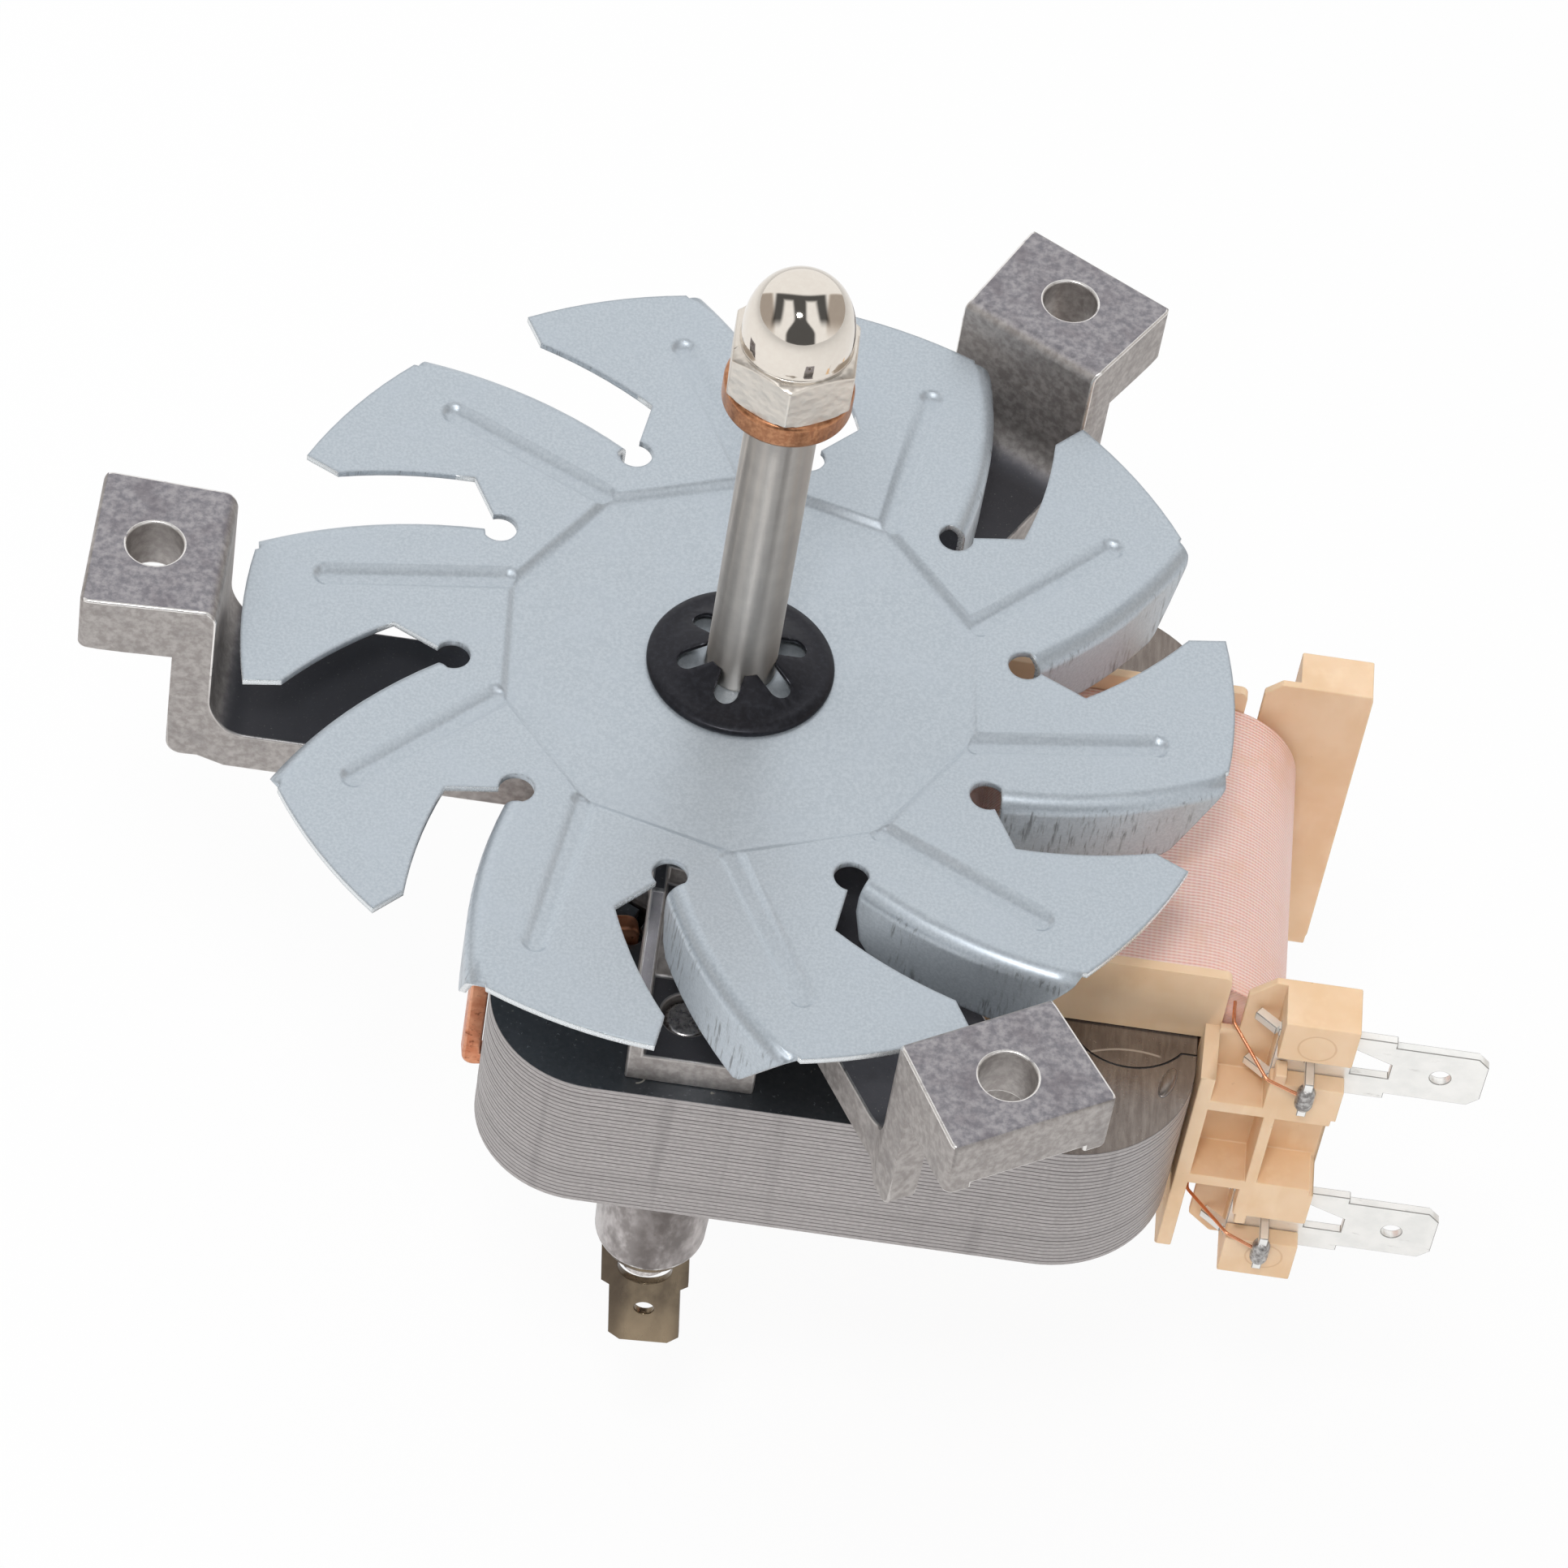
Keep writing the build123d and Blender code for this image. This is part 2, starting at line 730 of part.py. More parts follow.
# Stator frame: pole body with two arms, and the coil core between the arms
left = stack_left_corner
right = stack_right_corner
frame_shape = Polygon(
    (stack_left, -stack_half_w),
    (stack_right, -stack_half_w),
    (stack_right, stack_half_w),
    (stack_left, stack_half_w),
    align=None,
)
frame_shape = fillet(frame_shape.vertices().sort_by(Axis.X)[:2], left)
frame_shape = fillet(frame_shape.vertices().sort_by(Axis.X)[-2:], right)
window = Polygon(
    (window_left, -window_half_w),
    (stack_right + 5, -window_half_w),
    (stack_right + 5, window_half_w),
    (window_left, window_half_w),
    align=None,
)
window = fillet(window.vertices().sort_by(Axis.X)[:2], window_corner)
core_mid = (core_left + core_right) / 2
core_shape = Pos(core_mid, 0) * Rectangle(core_right - core_left, 2 * (window_half_w - slip))
for side in (-1, 1):
    lobe_at = Pos(core_lobe_x, side * core_lobe_y)
    window += lobe_at * Circle(core_lobe_r + slip)
    core_shape += lobe_at * Circle(core_lobe_r)
frame_shape -= window
frame_shape -= Circle(bore_r)
shade_hole_r = shade_bar / 2 * 1.4142 + 0.05
for side in (-1, 1):
    frame_shape -= Pos(screw_x, side * screw_y) * Circle(screw_r + loose)
    sx = -side * shade_in[0]
    sy = -side * shade_in[1]
    frame_shape -= Pos(sx, sy) * Circle(shade_hole_r)
    slot_angle = math.degrees(math.atan2(sy, sx))
    reach = math.hypot(sx, sy)
    frame_shape -= Rot(0, 0, slot_angle) * Pos((bore_r + reach) / 2, 0) * Rectangle(reach - bore_r + 1, 1.0)
save("stator_frame", slab(frame_shape, stack_bottom, stack_top))
save("coil_core", slab(core_shape, stack_bottom, stack_top))

# Shading rings: one closed copper turn around a part of each pole
ring_gap = 0.1
dx = shade_in[0] - shade_out[0]
dy = shade_in[1] - shade_out[1]
span = math.hypot(dx, dy)
z_low = stack_bottom - ring_gap - shade_bar
z_high = stack_top + ring_gap + shade_bar
outer = rounded(-shade_bar / 2, span + shade_bar / 2, z_low, z_high, 1.2)
inner = rounded(shade_bar / 2, span - shade_bar / 2, z_low + shade_bar, z_high - shade_bar, 0.05)
shade = across(outer - inner, -shade_bar / 2, shade_bar / 2)
shade = Pos(shade_out[0], shade_out[1], 0) * Rot(0, 0, math.degrees(math.atan2(dy, dx))) * shade
shades = [shade, Rot(0, 0, 180) * shade]
save("shading_rings", Compound(children=shades))

# Bobbin: tube around the core, two flanges and a carrier at each end
tube = box(
    tube_x0 - bobbin_wall, tube_x1 + bobbin_wall,
    -flange_out_y, flange_out_y,
    tube_z0 - bobbin_wall, tube_z1 + bobbin_wall,
)
rim_x1 = rim_x0 + rim_t
flange_bottom = 2 * mid_z - flange_top
flange_shape = rounded(flange_left, rim_x1, flange_bottom, flange_top, flange_corner)
flange = across(flange_shape, -flange_out_y, -flange_in_y)
rim_shape = outline([
    (-flange_in_y, flange_top - rim_root_drop),
    (-rim_y, flange_top - rim_front_drop),
    (-rim_y, flange_bottom + rim_foot_rise),
    (-rim_y + rim_foot_cut, flange_bottom),
    (-flange_in_y, flange_bottom),
])
half_z = pocket_half_z
carrier_bottom = 2 * mid_z - carrier_top
plate_back_y = carrier_plate_y - carrier_plate_t
back = rounded(carrier_left, carrier_right, carrier_bottom, carrier_top, 1.5)
for edge_z, way in ((carrier_bottom, 1), (carrier_top, -1)):
    back -= outline([
        (carrier_left, edge_z),
        (carrier_left + carrier_corner, edge_z),
        (carrier_left, edge_z + way * carrier_corner),
    ])
rim = along(rim_shape, rim_x0, rim_x1)
plate = across(back, -carrier_plate_y, -plate_back_y)
web = box(
    rim_x1 - 0.1, carrier_left + 1.6,
    -carrier_plate_y, -plate_back_y,
    mid_z - half_z, mid_z + half_z,
)
end = flange + rim + plate + web
for side in (-1, 1):
    rib_z = mid_z + side * rib_from_mid
    end += box(rim_x1 - 0.1, rib_x1, -rim_y, -plate_back_y, rib_z - rib_t / 2, rib_z + rib_t / 2)
end += box(post_rib_x, post_rib_x + post_rib_t, -rim_y, -plate_back_y, mid_z - half_z, mid_z + half_z)


def block(z0, z1):
    return box(block_x0, carrier_right - 0.1, -rim_y, -plate_back_y, z0, z1)


slot_low = carrier_top - block_h - slot_h
blocks = block(carrier_top - block_h, carrier_top)
blocks += block(slot_low - block_low_h, slot_low)
blocks += box(
    block_x0, carrier_right - 0.1,
    -tab_y + tab_t / 2 + slip, -plate_back_y,
    slot_low - 1, carrier_top - 1,
)
tab_z = mid_z + tab_from_mid
cheek = tab_t / 2 + slip
slit = box(
    block_x0 - 2.2, carrier_right + 1,
    -tab_y - cheek, -tab_y + cheek,
    tab_z - tab_root_w / 2 - slip, tab_z + tab_root_w / 2 + slip,
)
both_ends = end + blocks + flip_z(blocks)
near_end = both_ends - slit - flip_z(slit)
far_end = mirror(both_ends, about=Plane.XZ)
far_end -= box(rim_x1 + 0.1, carrier_right + 1, far_rim_y, rim_y + 1, carrier_bottom - 1, 0)
far_end -= box(carrier_left - 1, carrier_right + 1, flange_in_y, rim_y + 1, carrier_top - far_top_drop, 0)
bobbin = tube + near_end + far_end
bobbin -= box(tube_x0, tube_x1, -flange_out_y - 1, flange_out_y + 1, tube_z0, tube_z1)
save("bobbin", bobbin)

# Coil winding, and the woven tape over it that is turned in over its ends
coil_y = flange_in_y - 0.1
hole_x = tube_x1 - tube_x0 + 2 * bobbin_wall + 0.1
hole_z = tube_z1 - tube_z0 + 2 * bobbin_wall + 0.1
tape_x = coil_half_x + tape_t
tape_z = coil_half_z + tape_t
hole = Pos(tube_mid_x, mid_z) * Rectangle(hole_x, hole_z)
coil_shape = Pos(tube_mid_x, mid_z) * RectangleRounded(2 * coil_half_x, 2 * coil_half_z, coil_corner)
tape_shape = Pos(tube_mid_x, mid_z) * RectangleRounded(2 * tape_x, 2 * tape_z, coil_corner + tape_t)
wire_y = coil_y - tape_t
save("coil_winding", across(coil_shape - hole, -wire_y, wire_y))
save("coil_tape", across(tape_shape - hole, -coil_y, coil_y) - across(coil_shape, -wire_y, wire_y))

# Push-on terminals with their pins, solder and leads


def terminal():
    half_r = tab_root_w / 2
    half_t = tab_blade_w / 2
    flat_tab = Polygon(
        (block_x0, tab_z - half_r),
        (tab_root_x, tab_z - half_r),
        (tab_root_x, tab_z - half_t),
        (tab_tip_x - tab_chamfer, tab_z - half_t),
        (tab_tip_x, tab_z - half_t + tab_chamfer),
        (tab_tip_x, tab_z + half_t - tab_chamfer),
        (tab_tip_x - tab_chamfer, tab_z + half_t),
        (tab_root_x, tab_z + half_t),
        (tab_root_x, tab_z + half_r),
        (block_x0, tab_z + half_r),
        align=None,
    )
    flat_tab -= Pos(tab_hole_x, tab_z) * Circle(tab_hole_r)
    flat_tab -= Polygon(
        (carrier_right + 0.2, tab_z - 1.1),
        (tab_root_x, tab_z - 1.1),
        (tab_root_x, tab_z + 0.8),
        (carrier_right + 0.2, tab_z + 2.2),
        align=None,
    )
    solid = across(flat_tab, -tab_y - tab_t / 2, -tab_y + tab_t / 2)
    # two tails, bent back behind the block, keep the terminal in place
    tail_x = block_x0 - 0.15
    for z in (tab_z + tail_from_mid, tab_z - tail_from_mid):
        half_h = tail_h / 2
        solid += box(tail_x, block_x0 + 1, -tab_y - tab_t / 2, -tab_y + tab_t / 2, z - half_h, z + half_h)
        tail = Pos(tail_len / 2, 0, 0) * Box(tail_len, tab_t, tail_h)
        solid += Pos(tail_x, -tab_y, z) * Rot(0, 0, tail_angle) * tail
    half_p = pin_w / 2
    solid += box(pin_x - half_p, pin_x + half_p, -pin_front_y, -tab_y, tab_z - half_p, tab_z + half_p)
    solid += box(
        pin_x - half_p, pin_x + half_p,
        -pin_front_y, -pin_front_y + pin_w,
        tab_z - pin_drop, tab_z + half_p,
    )
    return solid


terminal_up = terminal()
terminal_low = Pos(0, 0, -2 * tab_from_mid) * terminal_up
save("terminal_upper", terminal_up)
save("terminal_lower", terminal_low)

pin_y = -pin_front_y + pin_w / 2


def lead(points):
    path = FilletPolyline(*points, radius=0.8)
    return sweep(Plane(origin=path @ 0, z_dir=path % 0) * Circle(lead_r), path=path)


gap_x = (rim_x1 + carrier_left) / 2
blob_z = tab_z - pin_drop + 2.1
leads = []
blobs = []
drop = 2 * tab_from_mid
routes = (
    [
        (gap_x, -coil_y - 0.3, tab_z + 1.6),
        (gap_x, -17.6, tab_z + 1.1),
        (49.1, -21.9, tab_z - 0.7),
        (pin_x - 0.6, pin_y, blob_z + 0.3),
    ],
    [
        (gap_x, -coil_y - 0.3, tab_z - drop - 0.6),
        (gap_x, -17.4, tab_z - drop - 0.9),
        (49.4, -21.9, tab_z - drop - 0.6),
        (pin_x - 0.6, pin_y, blob_z - drop + 0.3),
    ],
)
for points, terminal_solid, low in zip(routes, (terminal_up, terminal_low), (0, drop)):
    wire = lead(points)
    blob_half = solder_h / 2 - solder_r
    blob = rod(pin_x, pin_y, solder_r, blob_z - low - blob_half, blob_z - low + blob_half)
    for end_z in (blob_z - low - blob_half, blob_z - low + blob_half):
        blob += Pos(pin_x, pin_y, end_z) * Sphere(solder_r)
    reach = 2 * solder_r
    blob = blob & box(
        pin_x - reach, pin_x + reach,
        pin_y - reach, -rim_y - slip,
        blob_z - low - solder_h, blob_z - low + solder_h,
    )
    blob = blob - terminal_solid - wire
    leads.append(wire)
    blobs.append(blob)
save("coil_leads", Compound(children=leads))
save("solder_joints", Compound(children=blobs))
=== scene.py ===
import math
import random

import bmesh
import bpy
from mathutils import Matrix, Vector, geometry


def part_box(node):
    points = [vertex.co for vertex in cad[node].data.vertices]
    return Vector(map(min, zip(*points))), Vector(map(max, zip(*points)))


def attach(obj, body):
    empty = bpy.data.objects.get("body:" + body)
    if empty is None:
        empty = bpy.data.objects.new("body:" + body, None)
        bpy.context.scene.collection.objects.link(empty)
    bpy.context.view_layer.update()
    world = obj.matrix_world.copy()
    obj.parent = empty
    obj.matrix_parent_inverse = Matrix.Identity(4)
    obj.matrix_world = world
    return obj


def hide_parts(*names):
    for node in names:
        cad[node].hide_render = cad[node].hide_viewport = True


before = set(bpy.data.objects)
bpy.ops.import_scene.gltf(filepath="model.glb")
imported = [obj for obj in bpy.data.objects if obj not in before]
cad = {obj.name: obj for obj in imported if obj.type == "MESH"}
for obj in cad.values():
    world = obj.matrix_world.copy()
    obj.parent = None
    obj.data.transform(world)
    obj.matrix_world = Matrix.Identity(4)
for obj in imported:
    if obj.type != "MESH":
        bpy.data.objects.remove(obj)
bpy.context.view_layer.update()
scene = bpy.context.scene
scene.view_settings.view_transform = "Standard"
mm = 0.001


# Camera, where the photograph was taken from: a little under 60 centimetres away, on
# the terminals' side and some fifty degrees up.
camera_right = Vector((0.98944, 0.08411, 0.11806))
camera_down = Vector((0.14028, -0.76084, -0.63360))
camera_ahead = Vector((0.03653, 0.64347, -0.76460))
camera_place = Vector((-0.01609, -0.38004, 0.43210))

lens = bpy.data.cameras.new("Camera")
lens.lens = 157.45
lens.sensor_width = 36
lens.clip_start = 0.01
camera = bpy.data.objects.new("Camera", lens)
scene.collection.objects.link(camera)
turned = Matrix((camera_right, -camera_down, -camera_ahead)).transposed()
camera.matrix_world = Matrix.Translation(camera_place) @ turned.to_4x4()
scene.camera = camera


# Studio: a white tent with a big soft lamp at the left and a smaller one above the
# camera. Mirrors see the tent as white, with its darker sides and, round the camera,
# the dark posts of the opening. across and up say where a ball would show a direction.
tent_light = 0.80
side_watts = 0.95
front_watts = 1.5
lamp_target = Vector((0, 0, -20 * mm))
opening_top = (0.52, 0.47)
opening_bottom = (-0.63, -0.57)
middle_half, middle_flare, flare_from = 0.11, 0.16, (0.0, -0.3)
post_soft = 0.03
outer_from, outer_to, outer_lean, outer_rise = (0.30, 0.38), (0.56, 0.48), 0.22, (-0.2, 0.02)
bar_from, bar_to = (0.33, 0.41), (0.46, 0.36)
side_from, side_rise = (0.44, 0.52), (-0.4, 0.0)
post_dark = 0.9
side_dark = 0.55
floor_z = -0.10
floor_glow = 0.9


def tint(red, green, blue):
    # a colour as a screen shows it, in the values that a shader takes
    shares = [c / 255 for c in (red, green, blue)]
    return (*[s / 12.92 if s <= 0.04045 else ((s + 0.055) / 1.055) ** 2.4 for s in shares], 1)


def add(tree, kind, inputs=None, **settings):
    made = tree.nodes.new(kind)
    for name, value in settings.items():
        setattr(made, name, value)
    for key, value in (inputs or {}).items():
        if isinstance(value, bpy.types.NodeSocket):
            tree.links.new(value, made.inputs[key])
        else:
            made.inputs[key].default_value = value
    return made


def math_node(tree, operation, first, second=0.0, third=0.0):
    made = add(tree, "ShaderNodeMath", {0: first, 1: second, 2: third}, operation=operation)
    return made.outputs[0]


def multiplied(tree, first, *others):
    for other in others:
        first = math_node(tree, "MULTIPLY", first, other)
    return first


def vector_node(tree, operation, first, second=(0, 0, 0)):
    made = add(tree, "ShaderNodeVectorMath", {0: first, 1: second}, operation=operation)
    return made.outputs["Value" if operation == "DOT_PRODUCT" else 0]


def ease(tree, value, low, high):
    # 0 below low, 1 above high, and smooth between
    made = add(tree, "ShaderNodeMapRange", {0: value, 1: low, 2: high}, interpolation_type="SMOOTHSTEP")
    return made.outputs[0]


def blend(tree, share, first, second):
    made = add(tree, "ShaderNodeMix", {0: share, 6: first, 7: second}, data_type="RGBA")
    return made.outputs[2]


world = bpy.data.worlds.new("Studio")
world.use_nodes = True
scene.world = world
tree = world.node_tree
tree.nodes.clear()
path = add(tree, "ShaderNodeLightPath")
seen = math_node(tree, "MAXIMUM", path.outputs["Is Camera Ray"], path.outputs["Is Transmission Ray"])
mirrored = path.outputs["Is Glossy Ray"]
where = add(tree, "ShaderNodeTexCoord").outputs["Generated"]
halfway = vector_node(tree, "NORMALIZE", vector_node(tree, "ADD", where, -camera_ahead))
across = vector_node(tree, "DOT_PRODUCT", halfway, camera_right)
up = vector_node(tree, "DOT_PRODUCT", halfway, -camera_down)
aside = math_node(tree, "ABSOLUTE", across)
below_top = ease(tree, up, *opening_top)

middle_edge = math_node(tree, "MULTIPLY_ADD", ease(tree, up, *flare_from), middle_flare, middle_half)
posts = ease(tree, math_node(tree, "SUBTRACT", aside, middle_edge), post_soft, -post_soft)
outer_at = math_node(tree, "MULTIPLY_ADD", up, outer_lean, aside)
outer_post = multiplied(
    tree, ease(tree, outer_at, *outer_from), ease(tree, outer_at, *outer_to), ease(tree, up, *outer_rise),
)
posts = math_node(tree, "MAXIMUM", posts, outer_post)
top_bar = multiplied(tree, ease(tree, up, *bar_from), ease(tree, aside, *bar_to))
posts = math_node(tree, "MAXIMUM", posts, top_bar)
posts = multiplied(tree, posts, below_top, ease(tree, up, *opening_bottom))
sides = multiplied(tree, ease(tree, aside, *side_from), ease(tree, up, *side_rise), below_top)
lit_posts = math_node(tree, "MULTIPLY_ADD", posts, -post_dark, 1.0)
lit_sides = math_node(tree, "MULTIPLY_ADD", sides, -side_dark, 1.0)
mirror_light = math_node(tree, "MULTIPLY", lit_sides, lit_posts)
level = add(tree, "ShaderNodeMix", {0: mirrored, 2: tent_light, 3: mirror_light}).outputs[0]
level = add(tree, "ShaderNodeMix", {0: seen, 2: level, 3: 1.0}).outputs[0]
warm = math_node(tree, "MULTIPLY", mirrored, sides)
sky_tint = blend(tree, warm, (1, 1, 1, 1), tint(255, 243, 232))
sky = add(tree, "ShaderNodeBackground", {"Color": sky_tint, "Strength": level})
tree.links.new(sky.outputs[0], add(tree, "ShaderNodeOutputWorld").inputs["Surface"])

for name, watts, size, place, in_mirrors in (
    ("Side lamp", side_watts, 0.35, (-0.35, 0.15, 0.55), False),
    ("Front lamp", front_watts, 0.12, (-0.06, -0.36, 0.62), True),
):
    lamp = bpy.data.lights.new(name, "AREA")
    lamp.shape = "DISK"
    lamp.size = size
    lamp.energy = watts
    softbox = bpy.data.objects.new(name, lamp)
    softbox.location = place
    softbox.visible_glossy = in_mirrors
    aim = lamp_target - softbox.location
    softbox.rotation_euler = aim.to_track_quat("-Z", "Y").to_euler()
    scene.collection.objects.link(softbox)


def new_material(name):
    made = bpy.data.materials.new(name)
    made.use_nodes = True
    inside = made.node_tree
    return made, inside, inside.nodes["Principled BSDF"]


floor_material, tree, surface = new_material("Pale floor")
surface.inputs["Base Color"].default_value = tint(240, 240, 240)
surface.inputs["Roughness"].default_value = 0.9
white = add(tree, "ShaderNodeEmission", {"Color": (1, 1, 1, 1), "Strength": 1.0})
path = add(tree, "ShaderNodeLightPath")
share = math_node(tree, "MULTIPLY", path.outputs["Is Camera Ray"], floor_glow)
both = add(tree, "ShaderNodeMixShader", {0: share, 1: surface.outputs[0], 2: white.outputs[0]})
tree.links.new(both.outputs[0], tree.nodes["Material Output"].inputs["Surface"])

shape = bmesh.new()
bmesh.ops.create_grid(shape, x_segments=1, y_segments=1, size=2.0)
bmesh.ops.translate(shape, verts=shape.verts, vec=(0, 0, floor_z))
floor_mesh = bpy.data.meshes.new("Floor")
shape.to_mesh(floor_mesh)
shape.free()
floor = bpy.data.objects.new("Floor", floor_mesh)
floor_mesh.materials.append(floor_material)
scene.collection.objects.link(floor)


# Stator frame and coil core: 32 punched sheets of electrical steel. The core with
# its round ends is pressed between the two arms, and the sheets show as fine lines.
sheet = 0.5 * mm
joint_half = 0.06 * mm
joint_depth = 0.05 * mm
sheet_play = 0.03 * mm
bevel_tries = 8
bevel_room = 2.5


def copy_of(name, flatten=1.0):
    # the mesh of a CAD node, merged, with its flat faces made whole
    made = bmesh.new()
    made.from_mesh(cad[name].data)
    bmesh.ops.remove_doubles(made, verts=made.verts, dist=0.002 * mm)
    if flatten:
        limit = math.radians(flatten)
        bmesh.ops.dissolve_limit(made, angle_limit=limit, verts=made.verts, edges=made.edges)
    return made


def folded(made):
    steep = math.radians(140)
    return [e.verts[0].co.copy() for e in made.edges if e.is_manifold and e.calc_face_angle() > steep]


def off_segment(point, edge):
    first, second = (v.co for v in edge.verts)
    share = min(1, max(0, geometry.intersect_point_line(point, first, second)[1]))
    return (point - first.lerp(second, share)).length


def round_edges(made, width, keener=30, where=None):
    # rounds the keen edges, and marks the new faces for wear; an edge with too little
    # room beside it stays keen
    crowded = []
    given = len(folded(made))
    for attempt in range(bevel_tries):
        trial = made.copy()
        layers = trial.faces.layers.float
        worn = layers.get("edge") or layers.new("edge")
        keen = [
            e for e in trial.edges
            if e.is_manifold and e.calc_face_angle() > math.radians(keener) and (where is None or where(e))
            and all(off_segment(point, e) > bevel_room * width for point in crowded)
        ]
        new = bmesh.ops.bevel(
            trial, geom=keen, offset=width, offset_type="OFFSET", segments=2, profile=0.5,
            affect="EDGES", clamp_overlap=False, material=-1,
        )
        for face in new["faces"]:
            face[worn] = 1.0
        folds = folded(trial)
        if len(folds) <= given:
            break
        crowded += folds
        if attempt < bevel_tries - 1:
            trial.free()
    made.free()
    return trial


def finish_piece(made, name, body, material, hides=(), sharp=38, even=True):
    mesh = bpy.data.meshes.new(name)
    made.to_mesh(mesh)
    made.free()
    mesh.materials.clear()
    mesh.materials.append(material)
    mesh.shade_smooth()
    mesh.set_sharp_from_angle(angle=math.radians(sharp))
    piece = bpy.data.objects.new(name, mesh)
    scene.collection.objects.link(piece)
    if even:
        shading = piece.modifiers.new("Even shading", "WEIGHTED_NORMAL")
        shading.keep_sharp = True
    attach(piece, body)
    if hides:
        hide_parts(*hides)


def show_sheets(made, z0, z1, seed):
    tone = made.faces.layers.float.get("tone") or made.faces.layers.float.new("tone")
    count = round((z1 - z0) / sheet)
    for k in range(1, count):
        for step in (-joint_half, 0, joint_half):
            bmesh.ops.bisect_plane(
                made, geom=made.verts[:] + made.edges[:] + made.faces[:], dist=0.0002 * mm,
                plane_co=(0, 0, z0 + k * sheet + step), plane_no=(0, 0, 1),
            )
    made.normal_update()
    chance = random.Random(seed)
    play = [chance.uniform(0, sheet_play) for k in range(count)]
    tones = [chance.uniform(0, 1) for k in range(count)]
    moves = []
    for vert in made.verts:
        out = Vector((0, 0, 0))
        for face in vert.link_faces:
            if abs(face.normal.z) < 0.5:
                out += face.normal
        if out.length < 0.1:
            continue
        out.z = 0
        out.normalize()
        up = (vert.co.z - z0) / sheet
        joint = abs(up - round(up)) * sheet < joint_half / 2 and 0 < round(up) < count
        inward = joint_depth if joint else play[min(count - 1, max(0, int(up)))]
        moves.append((vert, out * inward))
    for vert, move in moves:
        vert.co -= move
    for face in made.faces:
        up = (face.calc_center_median().z - z0) / sheet
        face[tone] = tones[min(count - 1, max(0, int(up)))]


def split(tree, kind):
    # where on the object, or which way its surface faces, in X, Y and Z
    at = add(tree, "ShaderNodeTexCoord").outputs[kind]
    return add(tree, "ShaderNodeSeparateXYZ", {0: at}).outputs


def painted(tree, name):
    return add(tree, "ShaderNodeAttribute", attribute_name=name).outputs["Fac"]


def cover(tree, base, mask, share, colour):
    return blend(tree, math_node(tree, "MULTIPLY", mask, share), base, colour)


def raise_by(tree, surface, height, strength, distance, normal=None):
    given = {"Strength": strength, "Distance": distance, "Height": height}
    if normal is not None:
        given["Normal"] = normal
    relief = add(tree, "ShaderNodeBump", given)
    tree.links.new(relief.outputs[0], surface.inputs["Normal"])


def new_group(name, inputs, outputs):
    made = bpy.data.node_groups.new(name, "ShaderNodeTree")
    for label, kind, value in inputs:
        socket = made.interface.new_socket(label, in_out="INPUT", socket_type=kind)
        socket.default_value = value
    for label, kind in outputs:
        made.interface.new_socket(label, in_out="OUTPUT", socket_type=kind)
    return made, made.nodes.new("NodeGroupInput"), made.nodes.new("NodeGroupOutput")


def use(tree, group, **inputs):
    return add(tree, "ShaderNodeGroup", inputs, node_tree=group).outputs


# Grain: noise of a real size in metres, which may be drawn out along one way
grain_group, given, sent = new_group(
    "Grain",
    [
        ("Size", "NodeSocketFloat", 0.001),
        ("Stretch", "NodeSocketVector", (1, 1, 1)),
        ("Detail", "NodeSocketFloat", 3.0),
    ],
    [("Value", "NodeSocketFloat")],
)
tree = grain_group
inverse = math_node(tree, "DIVIDE", 1.0, given.outputs["Size"])
at = add(tree, "ShaderNodeTexCoord").outputs["Object"]
drawn = vector_node(tree, "MULTIPLY", at, given.outputs["Stretch"])
clouds = add(
    tree, "ShaderNodeTexNoise",
    {"Vector": drawn, "Scale": inverse, "Detail": given.outputs["Detail"], "Roughness": 0.6},
)
tree.links.new(clouds.outputs[0], sent.inputs["Value"])

# Worn edge: the rounded edges, rubbed bright in places
worn_group, given, sent = new_group(
    "Worn edge",
    [("Size", "NodeSocketFloat", 0.002), ("Amount", "NodeSocketFloat", 0.5)],
    [("Mask", "NodeSocketFloat")],
)
tree = worn_group
edge = painted(tree, "edge")
spots = use(tree, grain_group, Size=given.outputs["Size"], Detail=4.0)["Value"]
bare = ease(tree, math_node(tree, "ADD", spots, given.outputs["Amount"]), 0.82, 1.05)
tree.links.new(math_node(tree, "MULTIPLY", edge, bare), sent.inputs["Mask"])

# places of the marks on the top sheet: the joint with the core, the arc of a punch, whose edge is drawn as
# a painted highlight, and a scratch
stack_joint_x = 30.0 * mm
arc_x, arc_y, arc_r = 37.9 * mm, 27.85 * mm, 9.0 * mm
scratch_x, scratch_y, scratch_r = -3.9 * mm, -28.9 * mm, 0.8 * mm


def nearness(tree, x, y, x0, y0, radius, width):
    # 1 on a circle's line, 0 beyond its width
    side = math_node(tree, "SUBTRACT", x, x0)
    rise = math_node(tree, "SUBTRACT", y, y0)
    square = math_node(tree, "MULTIPLY_ADD", side, side, math_node(tree, "MULTIPLY", rise, rise))
    off = math_node(tree, "SUBTRACT", math_node(tree, "SQRT", square), radius)
    return ease(tree, math_node(tree, "ABSOLUTE", off), width, 0.4 * width)


